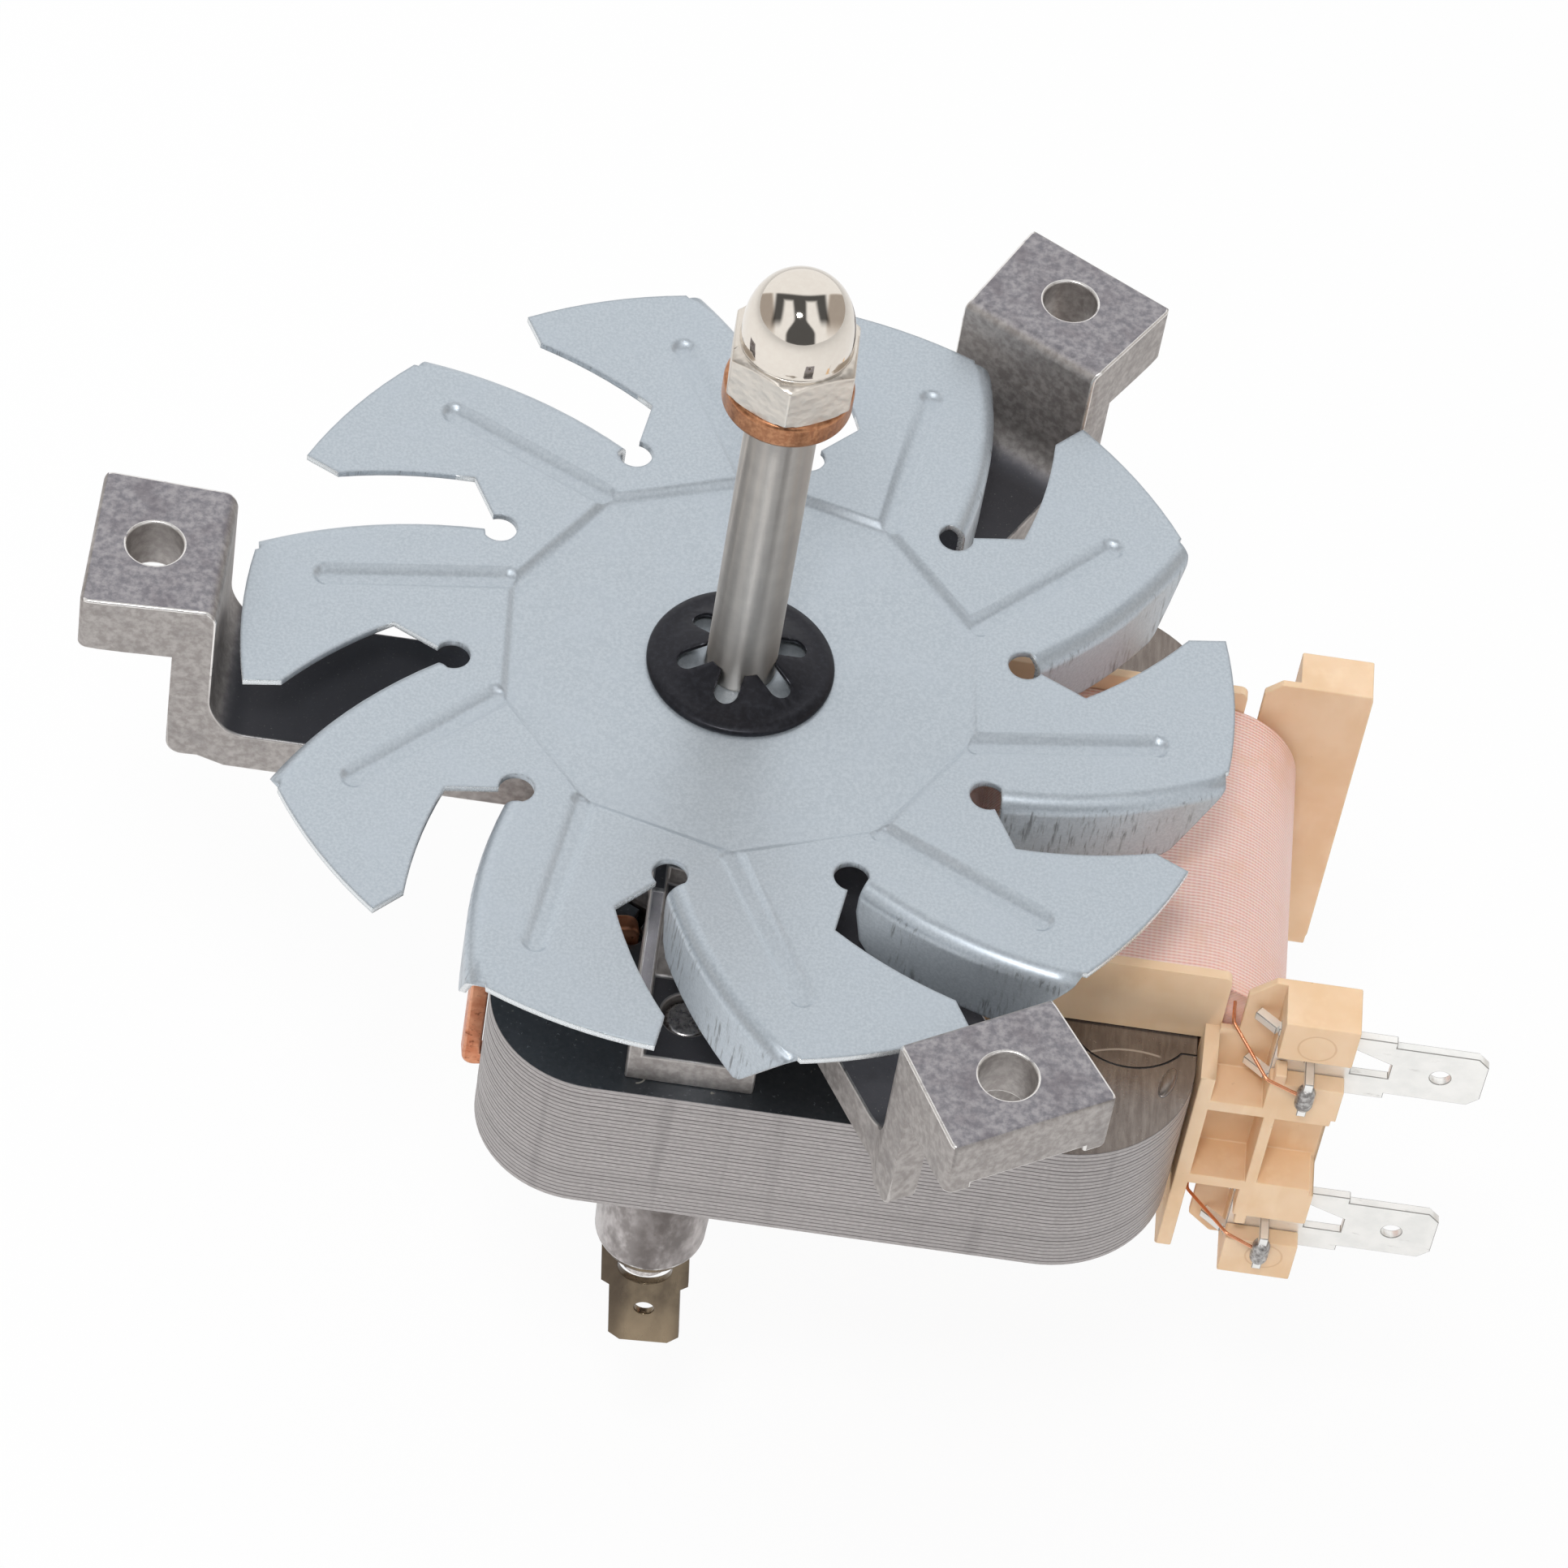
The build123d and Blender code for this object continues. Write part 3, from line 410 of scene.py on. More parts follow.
stack_material, tree, surface = new_material("Electrical steel")
tone = painted(tree, "tone")
edge = painted(tree, "edge")
fine = use(tree, grain_group, Size=0.4 * mm, Stretch=(1, 1, 2), Detail=5.0)["Value"]
streak = use(tree, grain_group, Size=2.6 * mm, Stretch=(1, 1, 0.06), Detail=3.0)["Value"]
patches = use(tree, grain_group, Size=9 * mm, Detail=4.0)["Value"]
side = blend(tree, ease(tree, fine, 0.3, 0.7), tint(168, 163, 162), tint(190, 185, 184))
side = cover(tree, side, tone, 0.3, tint(156, 152, 151))
side = cover(tree, side, ease(tree, streak, 0.56, 0.72), 0.28, tint(128, 124, 124))
place = split(tree, "Object")
height = math_node(tree, "DIVIDE", place["Z"], sheet)
phase = math_node(tree, "FRACT", height)
off = math_node(tree, "ABSOLUTE", math_node(tree, "SUBTRACT", phase, 0.5))
line = ease(tree, off, 0.30, 0.48)
side = cover(tree, side, line, 0.8, tint(98, 93, 93))
grain = use(tree, grain_group, Size=0.5 * mm, Stretch=(1, 0.15, 1), Detail=4.0)["Value"]
specks = use(tree, grain_group, Size=0.7 * mm, Detail=2.0)["Value"]
# the top sheet is darker blue-grey towards the left, under the fan, and brown-grey towards the right:
# partly the steel's own dark skin, partly painted shade and reflection of the fan above it
flat_dark_shaded = blend(tree, ease(tree, fine, 0.3, 0.75), tint(86, 91, 96), tint(98, 102, 107))
flat_bare = blend(tree, ease(tree, grain, 0.3, 0.75), tint(122, 112, 106), tint(148, 139, 132))
beyond_fan_shade = math_node(tree, "MULTIPLY_ADD", patches, 8 * mm, place["X"])
flat = blend(tree, ease(tree, beyond_fan_shade, 24 * mm, 33 * mm), flat_dark_shaded, flat_bare)
flat = cover(tree, flat, ease(tree, specks, 0.74, 0.78), 0.6, tint(190, 188, 176))
out = math_node(tree, "ABSOLUTE", place["Y"])
# the arc of the punch is a painted highlight: a lighter line where its edge catches the light
punch_arc_highlight = nearness(tree, place["X"], out, arc_x, arc_y, arc_r, 0.14 * mm)
punch_arc_highlight = multiplied(
    tree, punch_arc_highlight, ease(tree, out, 20.2 * mm, 19.8 * mm),
    ease(tree, place["X"], 33.6 * mm, 34.2 * mm), ease(tree, place["X"], 40.4 * mm, 40.0 * mm),
)
flat = cover(tree, flat, punch_arc_highlight, 0.75, tint(214, 208, 202))
scratch = nearness(tree, place["X"], place["Y"], scratch_x, scratch_y, scratch_r, 0.1 * mm)
beyond = ease(tree, place["X"], scratch_x, scratch_x + 0.1 * mm)
scratch = math_node(tree, "MULTIPLY", scratch, beyond)
flat = cover(tree, flat, scratch, 0.9, tint(226, 224, 214))
normal = split(tree, "Normal")
upward = ease(tree, math_node(tree, "ABSOLUTE", normal["Z"]), 0.6, 0.9)
base = blend(tree, upward, side, flat)
beside = ease(tree, place["X"], stack_joint_x, stack_joint_x + 0.5 * mm)
beside = math_node(tree, "MULTIPLY", beside, ease(tree, out, 22.0 * mm, 21.5 * mm))
base = blend(tree, math_node(tree, "MULTIPLY", edge, beside), base, tint(40, 36, 34))
tree.links.new(base, surface.inputs["Base Color"])
surface.inputs["Metallic"].default_value = 0.7
rough = math_node(tree, "MULTIPLY_ADD", fine, 0.2, 0.34)
rough = math_node(tree, "MULTIPLY_ADD", upward, -0.2, rough)
tree.links.new(rough, surface.inputs["Roughness"])
raise_by(tree, surface, fine, 0.3, 0.04 * mm)

for name, seed in (("stator_frame", 5), ("coil_core", 6)):
    low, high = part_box(name)
    shape = copy_of(name)
    shape = round_edges(shape, 0.08 * mm, 60, lambda e: abs(e.verts[0].co.z - e.verts[1].co.z) < 0.01 * mm)
    show_sheets(shape, low.z, high.z, seed)
    finish_piece(shape, name + "_sheets", "stator", stack_material, [name])

# the pressed dimple that locks the sheets of each arm together
dimple_at = Vector((41.0 * mm, 21.8 * mm, -25.5 * mm))
dimple_half = (0.62 * mm, 1.75 * mm, 0.3 * mm)
dimple_turn = math.radians(17)
for side_way, name in ((-1, "front"), (1, "back")):
    shape = bmesh.new()
    bmesh.ops.create_uvsphere(shape, u_segments=32, v_segments=16, radius=1.0)
    bmesh.ops.scale(shape, verts=shape.verts, vec=dimple_half)
    turned = Matrix.Rotation(side_way * dimple_turn, 3, "Z")
    bmesh.ops.rotate(shape, verts=shape.verts, cent=(0, 0, 0), matrix=turned)
    middle = (dimple_at.x, side_way * dimple_at.y, dimple_at.z)
    bmesh.ops.translate(shape, verts=shape.verts, vec=middle)
    finish_piece(shape, "stack_dimple_" + name, "stator", stack_material, even=False)


# Shading rings: one closed turn of square copper bar through each pole, bent over
# the faces of the stack and oxidised brown.
copper_material, tree, surface = new_material("Brown copper")
fine = use(tree, grain_group, Size=0.5 * mm, Detail=5.0)["Value"]
patches = use(tree, grain_group, Size=3 * mm, Detail=4.0)["Value"]
worn = use(tree, worn_group, Size=1.2 * mm, Amount=0.5)["Mask"]
base = blend(tree, ease(tree, patches, 0.35, 0.65), tint(204, 128, 92), tint(234, 170, 134))
base = blend(tree, ease(tree, fine, 0.52, 0.75), base, tint(132, 74, 50))
base = cover(tree, base, worn, 0.7, tint(226, 168, 138))
tree.links.new(base, surface.inputs["Base Color"])
surface.inputs["Metallic"].default_value = 0.9
tree.links.new(math_node(tree, "MULTIPLY_ADD", fine, 0.3, 0.22), surface.inputs["Roughness"])
raise_by(tree, surface, fine, 0.4, 0.05 * mm)

shape = copy_of("shading_rings")
shape = round_edges(shape, 0.25 * mm, 50)
finish_piece(shape, "shading_rings_bar", "stator", copper_material, ["shading_rings"])


# Bobbin: one moulding of tan glass-filled plastic, with the tube round the core,
# two flanges, and at each end the frame that holds the terminals.
pin_marks = ((52.6 * mm, -18.5 * mm), (53.2 * mm, -48.4 * mm))
pin_mark_r = 1.6 * mm

tan_material, tree, surface = new_material("Tan plastic")
fine = use(tree, grain_group, Size=0.35 * mm, Detail=4.0)["Value"]
patches = use(tree, grain_group, Size=7 * mm, Detail=3.0)["Value"]
flow = use(tree, grain_group, Size=2.5 * mm, Stretch=(1, 1, 0.35), Detail=3.0)["Value"]
base = blend(tree, ease(tree, patches, 0.3, 0.7), tint(229, 193, 153), tint(237, 206, 172))
base = cover(tree, base, ease(tree, flow, 0.5, 0.75), 0.35, tint(248, 222, 190))
specks = use(tree, grain_group, Size=0.9 * mm, Detail=2.0)["Value"]
base = cover(tree, base, ease(tree, specks, 0.74, 0.82), 0.55, tint(150, 112, 84))
place = split(tree, "Object")
pin_mark = None
for mark_x, mark_z in pin_marks:
    ring = nearness(tree, place["X"], place["Z"], mark_x, mark_z, pin_mark_r, 0.12 * mm)
    pin_mark = ring if pin_mark is None else math_node(tree, "MAXIMUM", pin_mark, ring)
pin_mark = math_node(tree, "MULTIPLY", pin_mark, ease(tree, place["Y"], -21.2 * mm, -21.4 * mm))
base = cover(tree, base, pin_mark, 0.4, tint(196, 150, 108))
tree.links.new(base, surface.inputs["Base Color"])
tree.links.new(math_node(tree, "MULTIPLY_ADD", fine, 0.2, 0.36), surface.inputs["Roughness"])
surface.inputs["Subsurface Weight"].default_value = 0.12
surface.inputs["Subsurface Radius"].default_value = (1.0, 0.45, 0.2)
surface.inputs["Subsurface Scale"].default_value = 1.2 * mm
height = math_node(tree, "MULTIPLY_ADD", pin_mark, -3.0, fine)
raise_by(tree, surface, height, 0.15, 0.04 * mm)

shape = copy_of("bobbin")
bmesh.ops.connect_verts_concave(shape, faces=shape.faces[:])
shape = round_edges(shape, 0.14 * mm, 40)
finish_piece(shape, "bobbin_moulding", "stator", tan_material, ["bobbin"])


# Winding and tape: fine enamelled wire under woven glass tape, which is thin enough
# for the turns to show as pink ribs.
turn_pitch = 0.34 * mm


def dress(name, material):
    # gives the mesh of a CAD node its material
    cad[name].data.materials.clear()
    cad[name].data.materials.append(material)


wire_material, tree, surface = new_material("Enamelled wire")
fine = use(tree, grain_group, Size=0.5 * mm, Detail=3.0)["Value"]
tree.links.new(blend(tree, fine, tint(150, 74, 50), tint(196, 112, 80)), surface.inputs["Base Color"])
surface.inputs["Metallic"].default_value = 0.8
surface.inputs["Roughness"].default_value = 0.32

tape_material, tree, surface = new_material("Glass tape over wire")
place = split(tree, "Object")
wobble = use(tree, grain_group, Size=5 * mm, Detail=2.0)["Value"]
along = math_node(tree, "MULTIPLY_ADD", wobble, 0.25 * mm, place["Y"])
turns = math_node(tree, "FRACT", math_node(tree, "DIVIDE", along, turn_pitch))
rib = math_node(tree, "ABSOLUTE", math_node(tree, "SUBTRACT", turns, 0.5))
rib = ease(tree, rib, 0.1, 0.5)
girth = math_node(tree, "SUBTRACT", place["Z"], place["X"])
thread = math_node(tree, "FRACT", math_node(tree, "DIVIDE", girth, 0.45 * mm))
thread = math_node(tree, "ABSOLUTE", math_node(tree, "SUBTRACT", thread, 0.5))
weave = ease(tree, thread, 0.1, 0.45)
cloudy = use(tree, grain_group, Size=4 * mm, Detail=4.0)["Value"]
base = blend(tree, rib, tint(248, 216, 206), tint(232, 172, 160))
base = cover(tree, base, weave, 0.25, tint(252, 232, 224))
base = cover(tree, base, ease(tree, cloudy, 0.5, 0.7), 0.4, tint(236, 190, 166))
tree.links.new(base, surface.inputs["Base Color"])
surface.inputs["Roughness"].default_value = 0.45
surface.inputs["Subsurface Weight"].default_value = 0.15
surface.inputs["Subsurface Scale"].default_value = 0.6 * mm
height = math_node(tree, "MULTIPLY_ADD", weave, 0.25, math_node(tree, "SUBTRACT", 1.0, rib))
raise_by(tree, surface, height, 0.6, 0.08 * mm)

shape = copy_of("coil_tape", 0)
finish_piece(shape, "coil_tape_wrap", "stator", tape_material, ["coil_tape"], 50)
dress("coil_winding", wire_material)


# Terminals: two blades of tinned brass pushed into the bobbin, each with a square
# pin that the coil's lead is wound round and soldered to.
tin_material, tree, surface = new_material("Bright tin")
fine = use(tree, grain_group, Size=0.25 * mm, Stretch=(0.12, 1, 1), Detail=4.0)["Value"]
patches = use(tree, grain_group, Size=2.5 * mm, Detail=4.0)["Value"]
marks = use(tree, grain_group, Size=0.8 * mm, Stretch=(0.3, 1, 1), Detail=5.0)["Value"]
base = blend(tree, ease(tree, patches, 0.35, 0.7), tint(250, 249, 246), tint(240, 240, 237))
base = cover(tree, base, ease(tree, marks, 0.63, 0.75), 0.6, tint(190, 188, 184))
edge = painted(tree, "edge")
base = cover(tree, base, edge, 0.85, tint(138, 136, 132))
tree.links.new(base, surface.inputs["Base Color"])
surface.inputs["Metallic"].default_value = 0.6
tree.links.new(math_node(tree, "MULTIPLY_ADD", fine, 0.2, 0.24), surface.inputs["Roughness"])
raise_by(tree, surface, fine, 0.3, 0.02 * mm)

for name in ("terminal_upper", "terminal_lower"):
    shape = copy_of(name)
    shape = round_edges(shape, 0.07 * mm, 50)
    finish_piece(shape, name + "_blade", "stator", tin_material, [name])

lead_material, tree, surface = new_material("Copper lead")
fine = use(tree, grain_group, Size=0.4 * mm, Detail=3.0)["Value"]
tree.links.new(blend(tree, fine, tint(228, 140, 98), tint(250, 188, 150)), surface.inputs["Base Color"])
surface.inputs["Metallic"].default_value = 0.9
surface.inputs["Roughness"].default_value = 0.26
dress("coil_leads", lead_material)

solder_material, tree, surface = new_material("Dull solder")
fine = use(tree, grain_group, Size=0.4 * mm, Detail=5.0)["Value"]
base = blend(tree, ease(tree, fine, 0.35, 0.7), tint(132, 128, 126), tint(204, 202, 200))
tree.links.new(base, surface.inputs["Base Color"])
surface.inputs["Metallic"].default_value = 0.85
tree.links.new(math_node(tree, "MULTIPLY_ADD", fine, 0.3, 0.2), surface.inputs["Roughness"])
raise_by(tree, surface, fine, 0.6, 0.12 * mm)
dress("solder_joints", solder_material)


# Front bracket: one die casting with the bearing hub, three legs that end in the
# mounting feet, and the bridge that stands on the stack.
# heights between which the casting's upward faces turn dark: painted shade under the fan
shade_start = -6 * mm
shade_full = -12 * mm

cast_material, tree, surface = new_material("Cast metal")
mottle = use(tree, grain_group, Size=0.7 * mm, Detail=8.0)["Value"]
fine = use(tree, grain_group, Size=0.2 * mm, Detail=4.0)["Value"]
patches = use(tree, grain_group, Size=3.5 * mm, Detail=5.0)["Value"]
worn = use(tree, worn_group, Size=1.2 * mm, Amount=0.58)["Mask"]
# upward faces are painted a darker violet grey and the other faces a lighter warm grey: painted reflection
# and shade, by which way a face turns
normal = split(tree, "Normal")
upward = ease(tree, normal["Z"], 0.6, 0.95)
side = blend(tree, ease(tree, mottle, 0.35, 0.68), tint(158, 152, 149), tint(188, 183, 180))
side = cover(tree, side, ease(tree, patches, 0.5, 0.7), 0.4, tint(132, 127, 126))
face = blend(tree, ease(tree, mottle, 0.32, 0.7), tint(134, 132, 138), tint(182, 178, 181))
face = cover(tree, face, ease(tree, patches, 0.45, 0.7), 0.6, tint(124, 118, 124))
base = blend(tree, upward, side, face)
place = split(tree, "Object")
# upward faces low under the fan are painted near black as painted shade, and fewer rubbed edges show there
deep_shade = ease(tree, place["Z"], shade_start, shade_full)
base = blend(tree, math_node(tree, "MULTIPLY", deep_shade, upward), base, tint(92, 92, 97))
base = cover(tree, base, ease(tree, fine, 0.62, 0.8), 0.5, tint(205, 201, 198))
worn = math_node(tree, "MULTIPLY", worn, math_node(tree, "MULTIPLY_ADD", deep_shade, -0.7, 1.0))
base = blend(tree, worn, base, tint(236, 233, 230))
tree.links.new(base, surface.inputs["Base Color"])
surface.inputs["Metallic"].default_value = 0.8
rough = math_node(tree, "MULTIPLY_ADD", mottle, 0.25, 0.38)
rough = math_node(tree, "MULTIPLY_ADD", worn, -0.2, rough)
tree.links.new(rough, surface.inputs["Roughness"])
height = math_node(tree, "MULTIPLY_ADD", fine, 0.4, mottle)
raise_by(tree, surface, height, 0.3, 0.08 * mm)

shape = copy_of("front_bracket")
shape = round_edges(shape, 0.22 * mm, 32)
finish_piece(shape, "front_bracket_casting", "stator", cast_material, ["front_bracket"])


# Rear bracket: the second casting, brighter, with two tapered posts for the screws
# and the arch that carries the rear bearing.
post_x = -0.35 * mm
bright_cast_material, tree, surface = new_material("Bright cast metal")
mottle = use(tree, grain_group, Size=1.4 * mm, Stretch=(1, 1, 0.6), Detail=4.0)["Value"]
patches = use(tree, grain_group, Size=4 * mm, Stretch=(1, 1, 0.25), Detail=3.0)["Value"]
worn = use(tree, worn_group, Size=1.6 * mm, Amount=0.4)["Mask"]
base = blend(tree, ease(tree, mottle, 0.35, 0.7), tint(136, 130, 128), tint(196, 190, 189))
base = cover(tree, base, ease(tree, patches, 0.5, 0.66), 0.5, tint(90, 83, 80))
place = split(tree, "Object")
wander = math_node(tree, "MULTIPLY_ADD", mottle, 2 * mm, place["X"])
middle = math_node(tree, "ABSOLUTE", math_node(tree, "SUBTRACT", wander, post_x + 1 * mm))
middle = ease(tree, middle, 2.0 * mm, 0.6 * mm)
base = cover(tree, base, middle, 0.6, tint(88, 80, 77))
base = blend(tree, worn, base, tint(238, 236, 234))
tree.links.new(base, surface.inputs["Base Color"])
surface.inputs["Metallic"].default_value = 0.85
tree.links.new(math_node(tree, "MULTIPLY_ADD", mottle, 0.15, 0.16), surface.inputs["Roughness"])
raise_by(tree, surface, mottle, 0.3, 0.08 * mm)

shape = copy_of("rear_bracket")
shape = round_edges(shape, 0.3 * mm, 32)
finish_piece(shape, "rear_bracket_casting", "stator", bright_cast_material, ["rear_bracket"])


# Bracket screws and the earth tab: zinc-plated machine screws through the stack,
# and a nickel-toned brass blade clamped under the front post.
zinc_material, tree, surface = new_material("Zinc plate")
fine = use(tree, grain_group, Size=0.4 * mm, Detail=4.0)["Value"]
base = blend(tree, ease(tree, fine, 0.35, 0.7), tint(186, 180, 178), tint(226, 222, 220))
tree.links.new(base, surface.inputs["Base Color"])
surface.inputs["Metallic"].default_value = 1.0
tree.links.new(math_node(tree, "MULTIPLY_ADD", fine, 0.25, 0.16), surface.inputs["Roughness"])
shape = copy_of("bracket_screws")
shape = round_edges(shape, 0.12 * mm, 50)
finish_piece(shape, "bracket_screws_plated", "stator", zinc_material, ["bracket_screws"])

blade_x = 0.9 * mm
brass_material, tree, surface = new_material("Nickel-toned brass")
fine = use(tree, grain_group, Size=0.3 * mm, Stretch=(1, 1, 0.08), Detail=4.0)["Value"]
patches = use(tree, grain_group, Size=2.5 * mm, Stretch=(1, 1, 0.5), Detail=4.0)["Value"]
base = blend(tree, ease(tree, patches, 0.3, 0.7), tint(92, 80, 66), tint(128, 114, 94))
base = cover(tree, base, ease(tree, fine, 0.55, 0.8), 0.4, tint(84, 74, 63))
place = split(tree, "Object")
# the blade is painted lighter towards its tip and darker away from its middle line: painted highlight and
# painted shade across the flat blade
tip_highlight = ease(tree, place["Z"], -60 * mm, -67 * mm)
base = cover(tree, base, tip_highlight, 0.5, tint(176, 156, 128))
aside = math_node(tree, "ABSOLUTE", math_node(tree, "SUBTRACT", place["X"], blade_x))
base = cover(tree, base, ease(tree, aside, 1.6 * mm, 3.2 * mm), 0.6, tint(66, 55, 46))
tree.links.new(base, surface.inputs["Base Color"])
surface.inputs["Metallic"].default_value = 0.95
tree.links.new(math_node(tree, "MULTIPLY_ADD", fine, 0.15, 0.18), surface.inputs["Roughness"])
shape = copy_of("earth_tab")
shape = round_edges(shape, 0.1 * mm, 50)
finish_piece(shape, "earth_tab_blade", "stator", brass_material, ["earth_tab"])


# Bearings, felts, retainers, thrust washers and rotor: sintered bronze balls held in
# their seats by spring plates, oil-soaked felt rings behind them, and the caged rotor.
plain_looks = (
    ("Sintered bronze", ("bearing_front", "bearing_rear"), (150, 112, 66), (188, 148, 92), 0.9, 0.35, 0.3),
    ("Oil felt", ("oil_felt_front", "oil_felt_rear"), (160, 140, 104), (198, 182, 146), 0.0, 0.85, 0.2),
    (
        "Spring plate", ("bearing_retainer_front", "bearing_retainer_rear"),
        (120, 120, 122), (156, 156, 158), 0.9, 0.3, 0.5,
    ),
    ("Fibre washer", ("thrust_washers",), (96, 58, 36), (128, 80, 50), 0.0, 0.6, 0.3),
    ("Rotor steel", ("rotor_core",), (108, 102, 98), (140, 134, 130), 0.8, 0.35, 0.6),
    ("Cast aluminium", ("rotor_cage",), (170, 170, 172), (204, 204, 206), 0.85, 0.35, 0.8),
)
for name, members, dark, light, metal, dull, size in plain_looks:
    made, tree, surface = new_material(name)
    fine = use(tree, grain_group, Size=size * mm, Detail=5.0)["Value"]
    base = blend(tree, ease(tree, fine, 0.3, 0.7), tint(*dark), tint(*light))
    tree.links.new(base, surface.inputs["Base Color"])
    surface.inputs["Metallic"].default_value = metal
    tree.links.new(math_node(tree, "MULTIPLY_ADD", fine, 0.2, dull), surface.inputs["Roughness"])
    raise_by(tree, surface, fine, 0.4, 0.06 * mm)
    for member in members:
        dress(member, made)


# Shaft: ground bar, turned down to a shoulder under the fan, with fine rings from
# the grinding.
shaft_material, tree, surface = new_material("Ground steel")
rings = use(tree, grain_group, Size=0.12 * mm, Stretch=(0.05, 0.05, 1), Detail=4.0)["Value"]
patches = use(tree, grain_group, Size=3 * mm, Detail=4.0)["Value"]
base = blend(tree, ease(tree, patches, 0.35, 0.7), tint(194, 188, 182), tint(204, 198, 191))
tree.links.new(base, surface.inputs["Base Color"])
surface.inputs["Metallic"].default_value = 1.0
tree.links.new(math_node(tree, "MULTIPLY_ADD", rings, 0.05, 0.32), surface.inputs["Roughness"])
surface.inputs["Anisotropic"].default_value = 0.98
along = add(tree, "ShaderNodeCombineXYZ", {0: 0.02, 2: 1.0})
tree.links.new(along.outputs[0], surface.inputs["Tangent"])
raise_by(tree, surface, rings, 0.15, 0.01 * mm)
shape = copy_of("shaft")
shape = round_edges(shape, 0.1 * mm, 40)
finish_piece(shape, "shaft_ground", "rotor", shaft_material, ["shaft"])


# Cooling fan: one disc of galvanised sheet, cut into ten blades. Each blade has a
# pressed groove and a vane bent down, and the cut edges are painted near white: partly bare steel, partly
# painted highlight.
press_round = 0.4 * mm

fan_material, tree, surface = new_material("Galvanised sheet")
spangle = use(tree, grain_group, Size=0.26 * mm, Detail=4.0)["Value"]
broad = use(tree, grain_group, Size=5 * mm, Detail=3.0)["Value"]
base = blend(tree, ease(tree, spangle, 0.34, 0.68), tint(177, 186, 194), tint(192, 200, 207))
base = cover(tree, base, ease(tree, broad, 0.45, 0.7), 0.3, tint(186, 195, 204))
place = split(tree, "Object")
normal = split(tree, "Normal")
upright = ease(tree, math_node(tree, "ABSOLUTE", normal["Z"]), 0.7, 0.3)
drag = use(tree, grain_group, Size=0.35 * mm, Stretch=(1, 1, 0.12), Detail=4.0)["Value"]
drag_zone = use(tree, grain_group, Size=5 * mm, Detail=2.0)["Value"]
scraped = math_node(tree, "MULTIPLY", ease(tree, drag, 0.5, 0.68), ease(tree, drag_zone, 0.42, 0.6))
scraped = math_node(tree, "MULTIPLY", scraped, upright)
base = cover(tree, base, scraped, 0.7, tint(96, 98, 100))
# the thin cut faces are painted near white: partly the bare steel of the cut, partly painted highlight
# along the edges of the sheet
cut = painted(tree, "cut")
base = cover(tree, base, cut, 0.85, tint(232, 236, 238))
tree.links.new(base, surface.inputs["Base Color"])
surface.inputs["Metallic"].default_value = 0.6
rough = math_node(tree, "MULTIPLY_ADD", spangle, 0.15, 0.3)
tree.links.new(math_node(tree, "MULTIPLY_ADD", cut, -0.1, rough), surface.inputs["Roughness"])
soft_bend = add(tree, "ShaderNodeBevel", {"Radius": press_round}, samples=4)
raise_by(tree, surface, spangle, 0.12, 0.03 * mm, soft_bend.outputs[0])

shape = copy_of("cooling_fan")
cut_layer = shape.faces.layers.float.new("cut")
for face in shape.faces:
    around = sum(e.calc_length() for e in face.edges)
    keen = sum(e.calc_length() for e in face.edges if e.is_manifold and e.calc_face_angle() > 0.8)
    slim = 2 * face.calc_area() / around < 0.7 * mm
    face[cut_layer] = 1.0 if slim and keen > 0.75 * around else 0.0
finish_piece(shape, "cooling_fan_sheet", "rotor", fan_material, ["cooling_fan"])


# Push-on washer: blackened spring steel, slotted so that its teeth bite the shaft
# and hold the fan against the shoulder.
black_material, tree, surface = new_material("Blackened spring steel")
fine = use(tree, grain_group, Size=0.5 * mm, Detail=5.0)["Value"]
worn = use(tree, worn_group, Size=1.0 * mm, Amount=0.32)["Mask"]
base = blend(tree, ease(tree, fine, 0.4, 0.75), tint(40, 40, 45), tint(50, 51, 57))
base = cover(tree, base, worn, 0.6, tint(150, 152, 160))
tree.links.new(base, surface.inputs["Base Color"])
surface.inputs["Metallic"].default_value = 0.7
tree.links.new(math_node(tree, "MULTIPLY_ADD", fine, 0.25, 0.24), surface.inputs["Roughness"])
shape = copy_of("push_on_washer")
shape = round_edges(shape, 0.08 * mm, 45)
finish_piece(shape, "push_on_washer_black", "rotor", black_material, ["push_on_washer"])


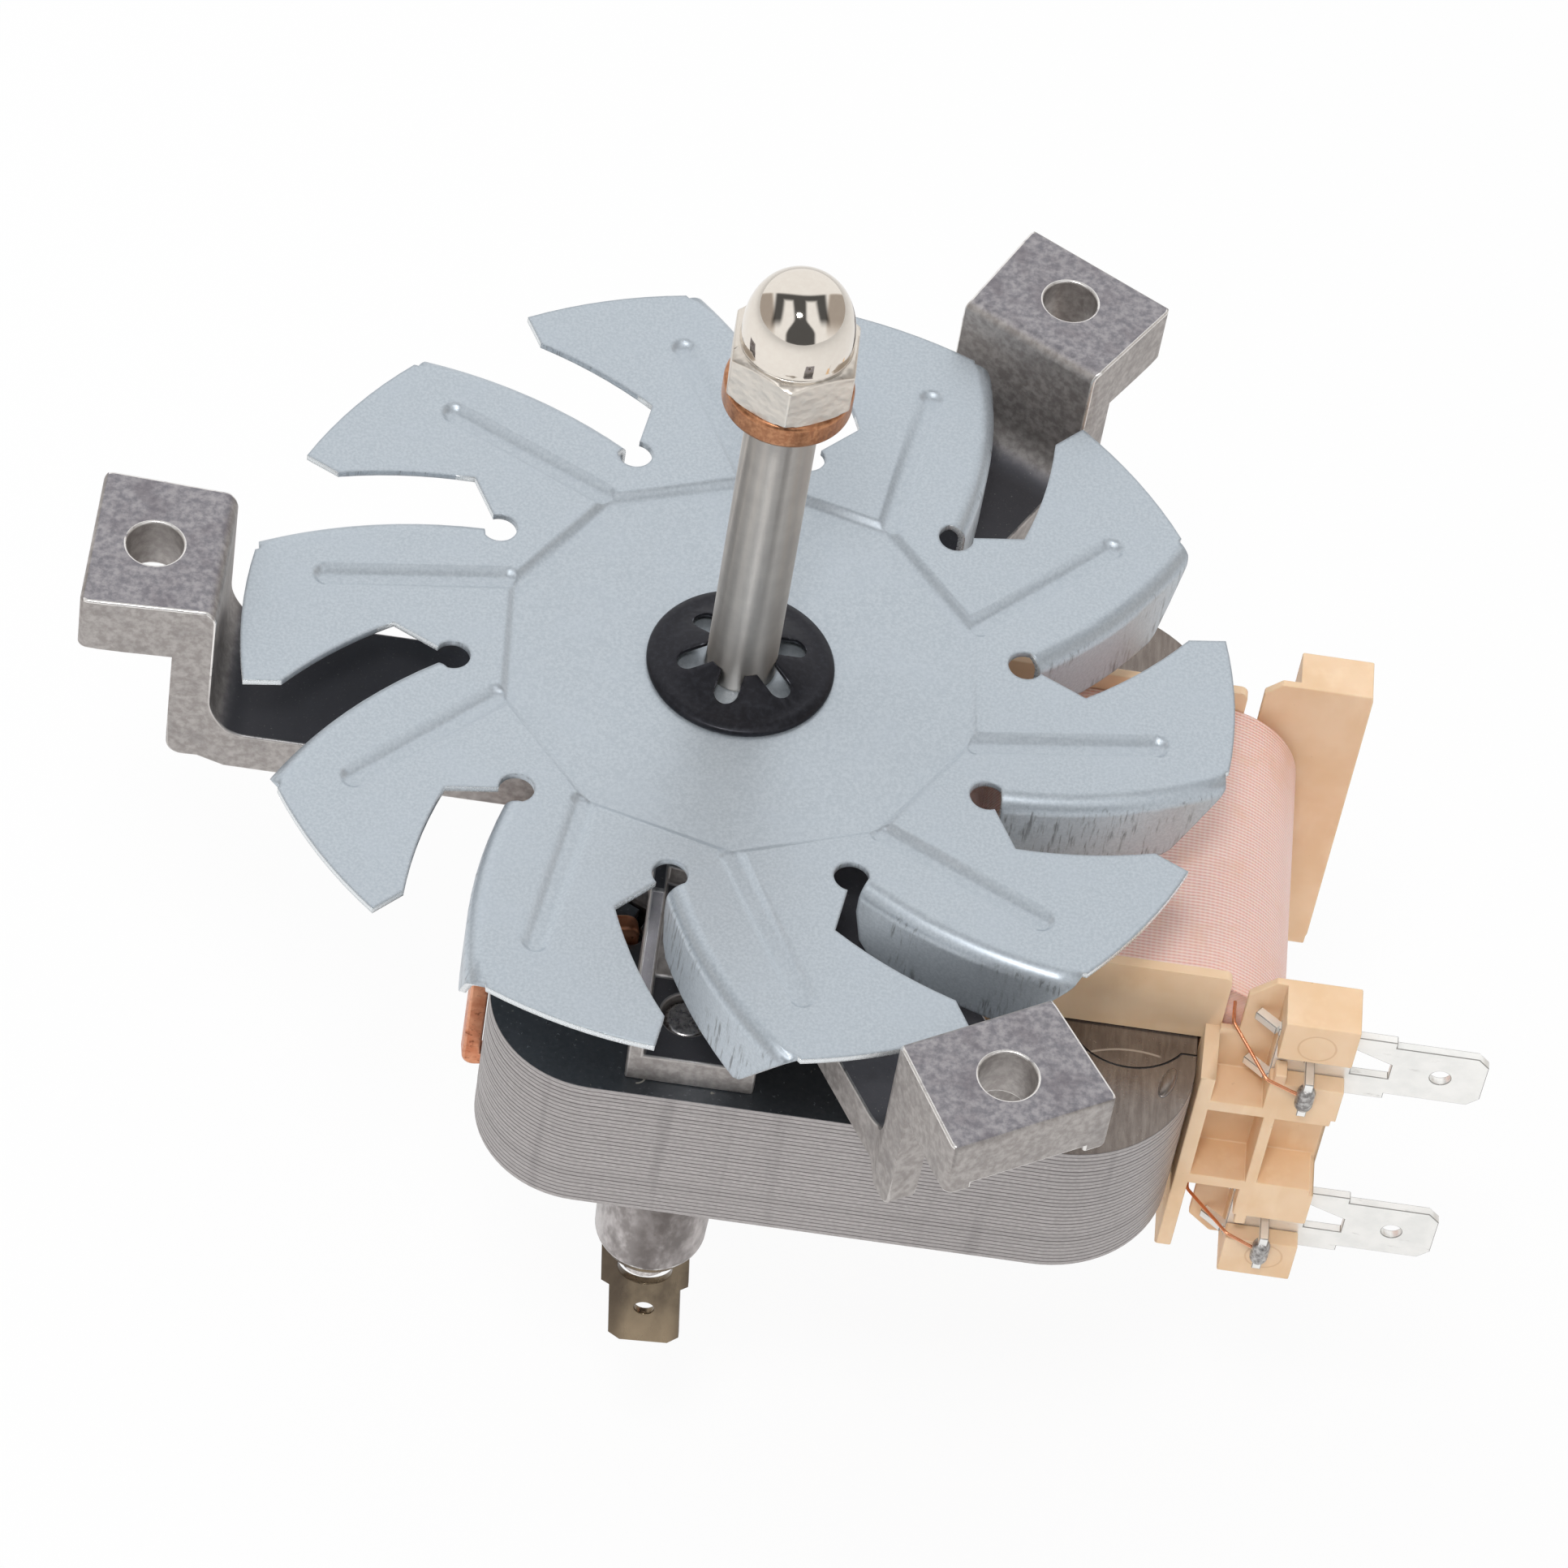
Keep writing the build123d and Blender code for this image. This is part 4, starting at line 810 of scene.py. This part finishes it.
# Copper washer and cap nut: the sealing washer and the domed nickel-plated nut that
# hold a fan wheel on the end of the shaft.
seal_material, tree, surface = new_material("Dull copper")
fine = use(tree, grain_group, Size=0.4 * mm, Detail=5.0)["Value"]
base = blend(tree, ease(tree, fine, 0.35, 0.7), tint(170, 116, 84), tint(200, 146, 108))
tree.links.new(base, surface.inputs["Base Color"])
surface.inputs["Metallic"].default_value = 0.95
tree.links.new(math_node(tree, "MULTIPLY_ADD", fine, 0.3, 0.2), surface.inputs["Roughness"])
shape = copy_of("copper_washer")
shape = round_edges(shape, 0.08 * mm, 45)
finish_piece(shape, "copper_washer_ring", "rotor", seal_material, ["copper_washer"])

dome_low = 35.9 * mm
dome_high = 41.85 * mm
dome_r = 4.6 * mm
dome_bore = 4.0 * mm
dome_full = 0.85
dome_rings = 28
dome_tip = 0.004

nickel_material, tree, surface = new_material("Polished nickel")
fine = use(tree, grain_group, Size=0.5 * mm, Detail=4.0)["Value"]
base = blend(tree, ease(tree, fine, 0.35, 0.7), tint(229, 221, 211), tint(232, 225, 215))
tree.links.new(base, surface.inputs["Base Color"])
surface.inputs["Metallic"].default_value = 1.0
place = split(tree, "Object")
hex_part = ease(tree, place["Z"], dome_low - 0.2 * mm, dome_low - 0.6 * mm)
rough = math_node(tree, "MULTIPLY_ADD", fine, 0.02, 0.05)
tree.links.new(math_node(tree, "MULTIPLY_ADD", hex_part, 0.3, rough), surface.inputs["Roughness"])
waves = use(tree, grain_group, Size=2 * mm, Detail=2.0)["Value"]
raise_by(tree, surface, waves, math_node(tree, "MULTIPLY", hex_part, 0.5), 0.3 * mm)
shape = copy_of("cap_nut")
shape = round_edges(shape, 0.15 * mm, 25)
dome_cut = bmesh.ops.bisect_plane(
    shape, geom=shape.verts[:] + shape.edges[:] + shape.faces[:],
    plane_co=(0, 0, dome_low), plane_no=(0, 0, 1), clear_outer=True,
)
rim = [g for g in dome_cut["geom_cut"] if isinstance(g, bmesh.types.BMEdge) and g.is_boundary]
rim = [e for e in rim if e.verts[0].co.xy.length > dome_bore]
for step in range(1, dome_rings + 1):
    turn = step / dome_rings * math.pi / 2
    grown = bmesh.ops.extrude_edge_only(shape, edges=rim)["geom"]
    rim = [g for g in grown if isinstance(g, bmesh.types.BMEdge)]
    for vert in {v for e in rim for v in e.verts}:
        vert.co.xy = vert.co.xy.normalized() * dome_r * max(math.cos(turn) ** dome_full, dome_tip)
        vert.co.z = dome_low + (dome_high - dome_low) * math.sin(turn) ** dome_full
bmesh.ops.contextual_create(shape, geom=rim)
finish_piece(shape, "cap_nut_plated", "rotor", nickel_material, ["cap_nut"])
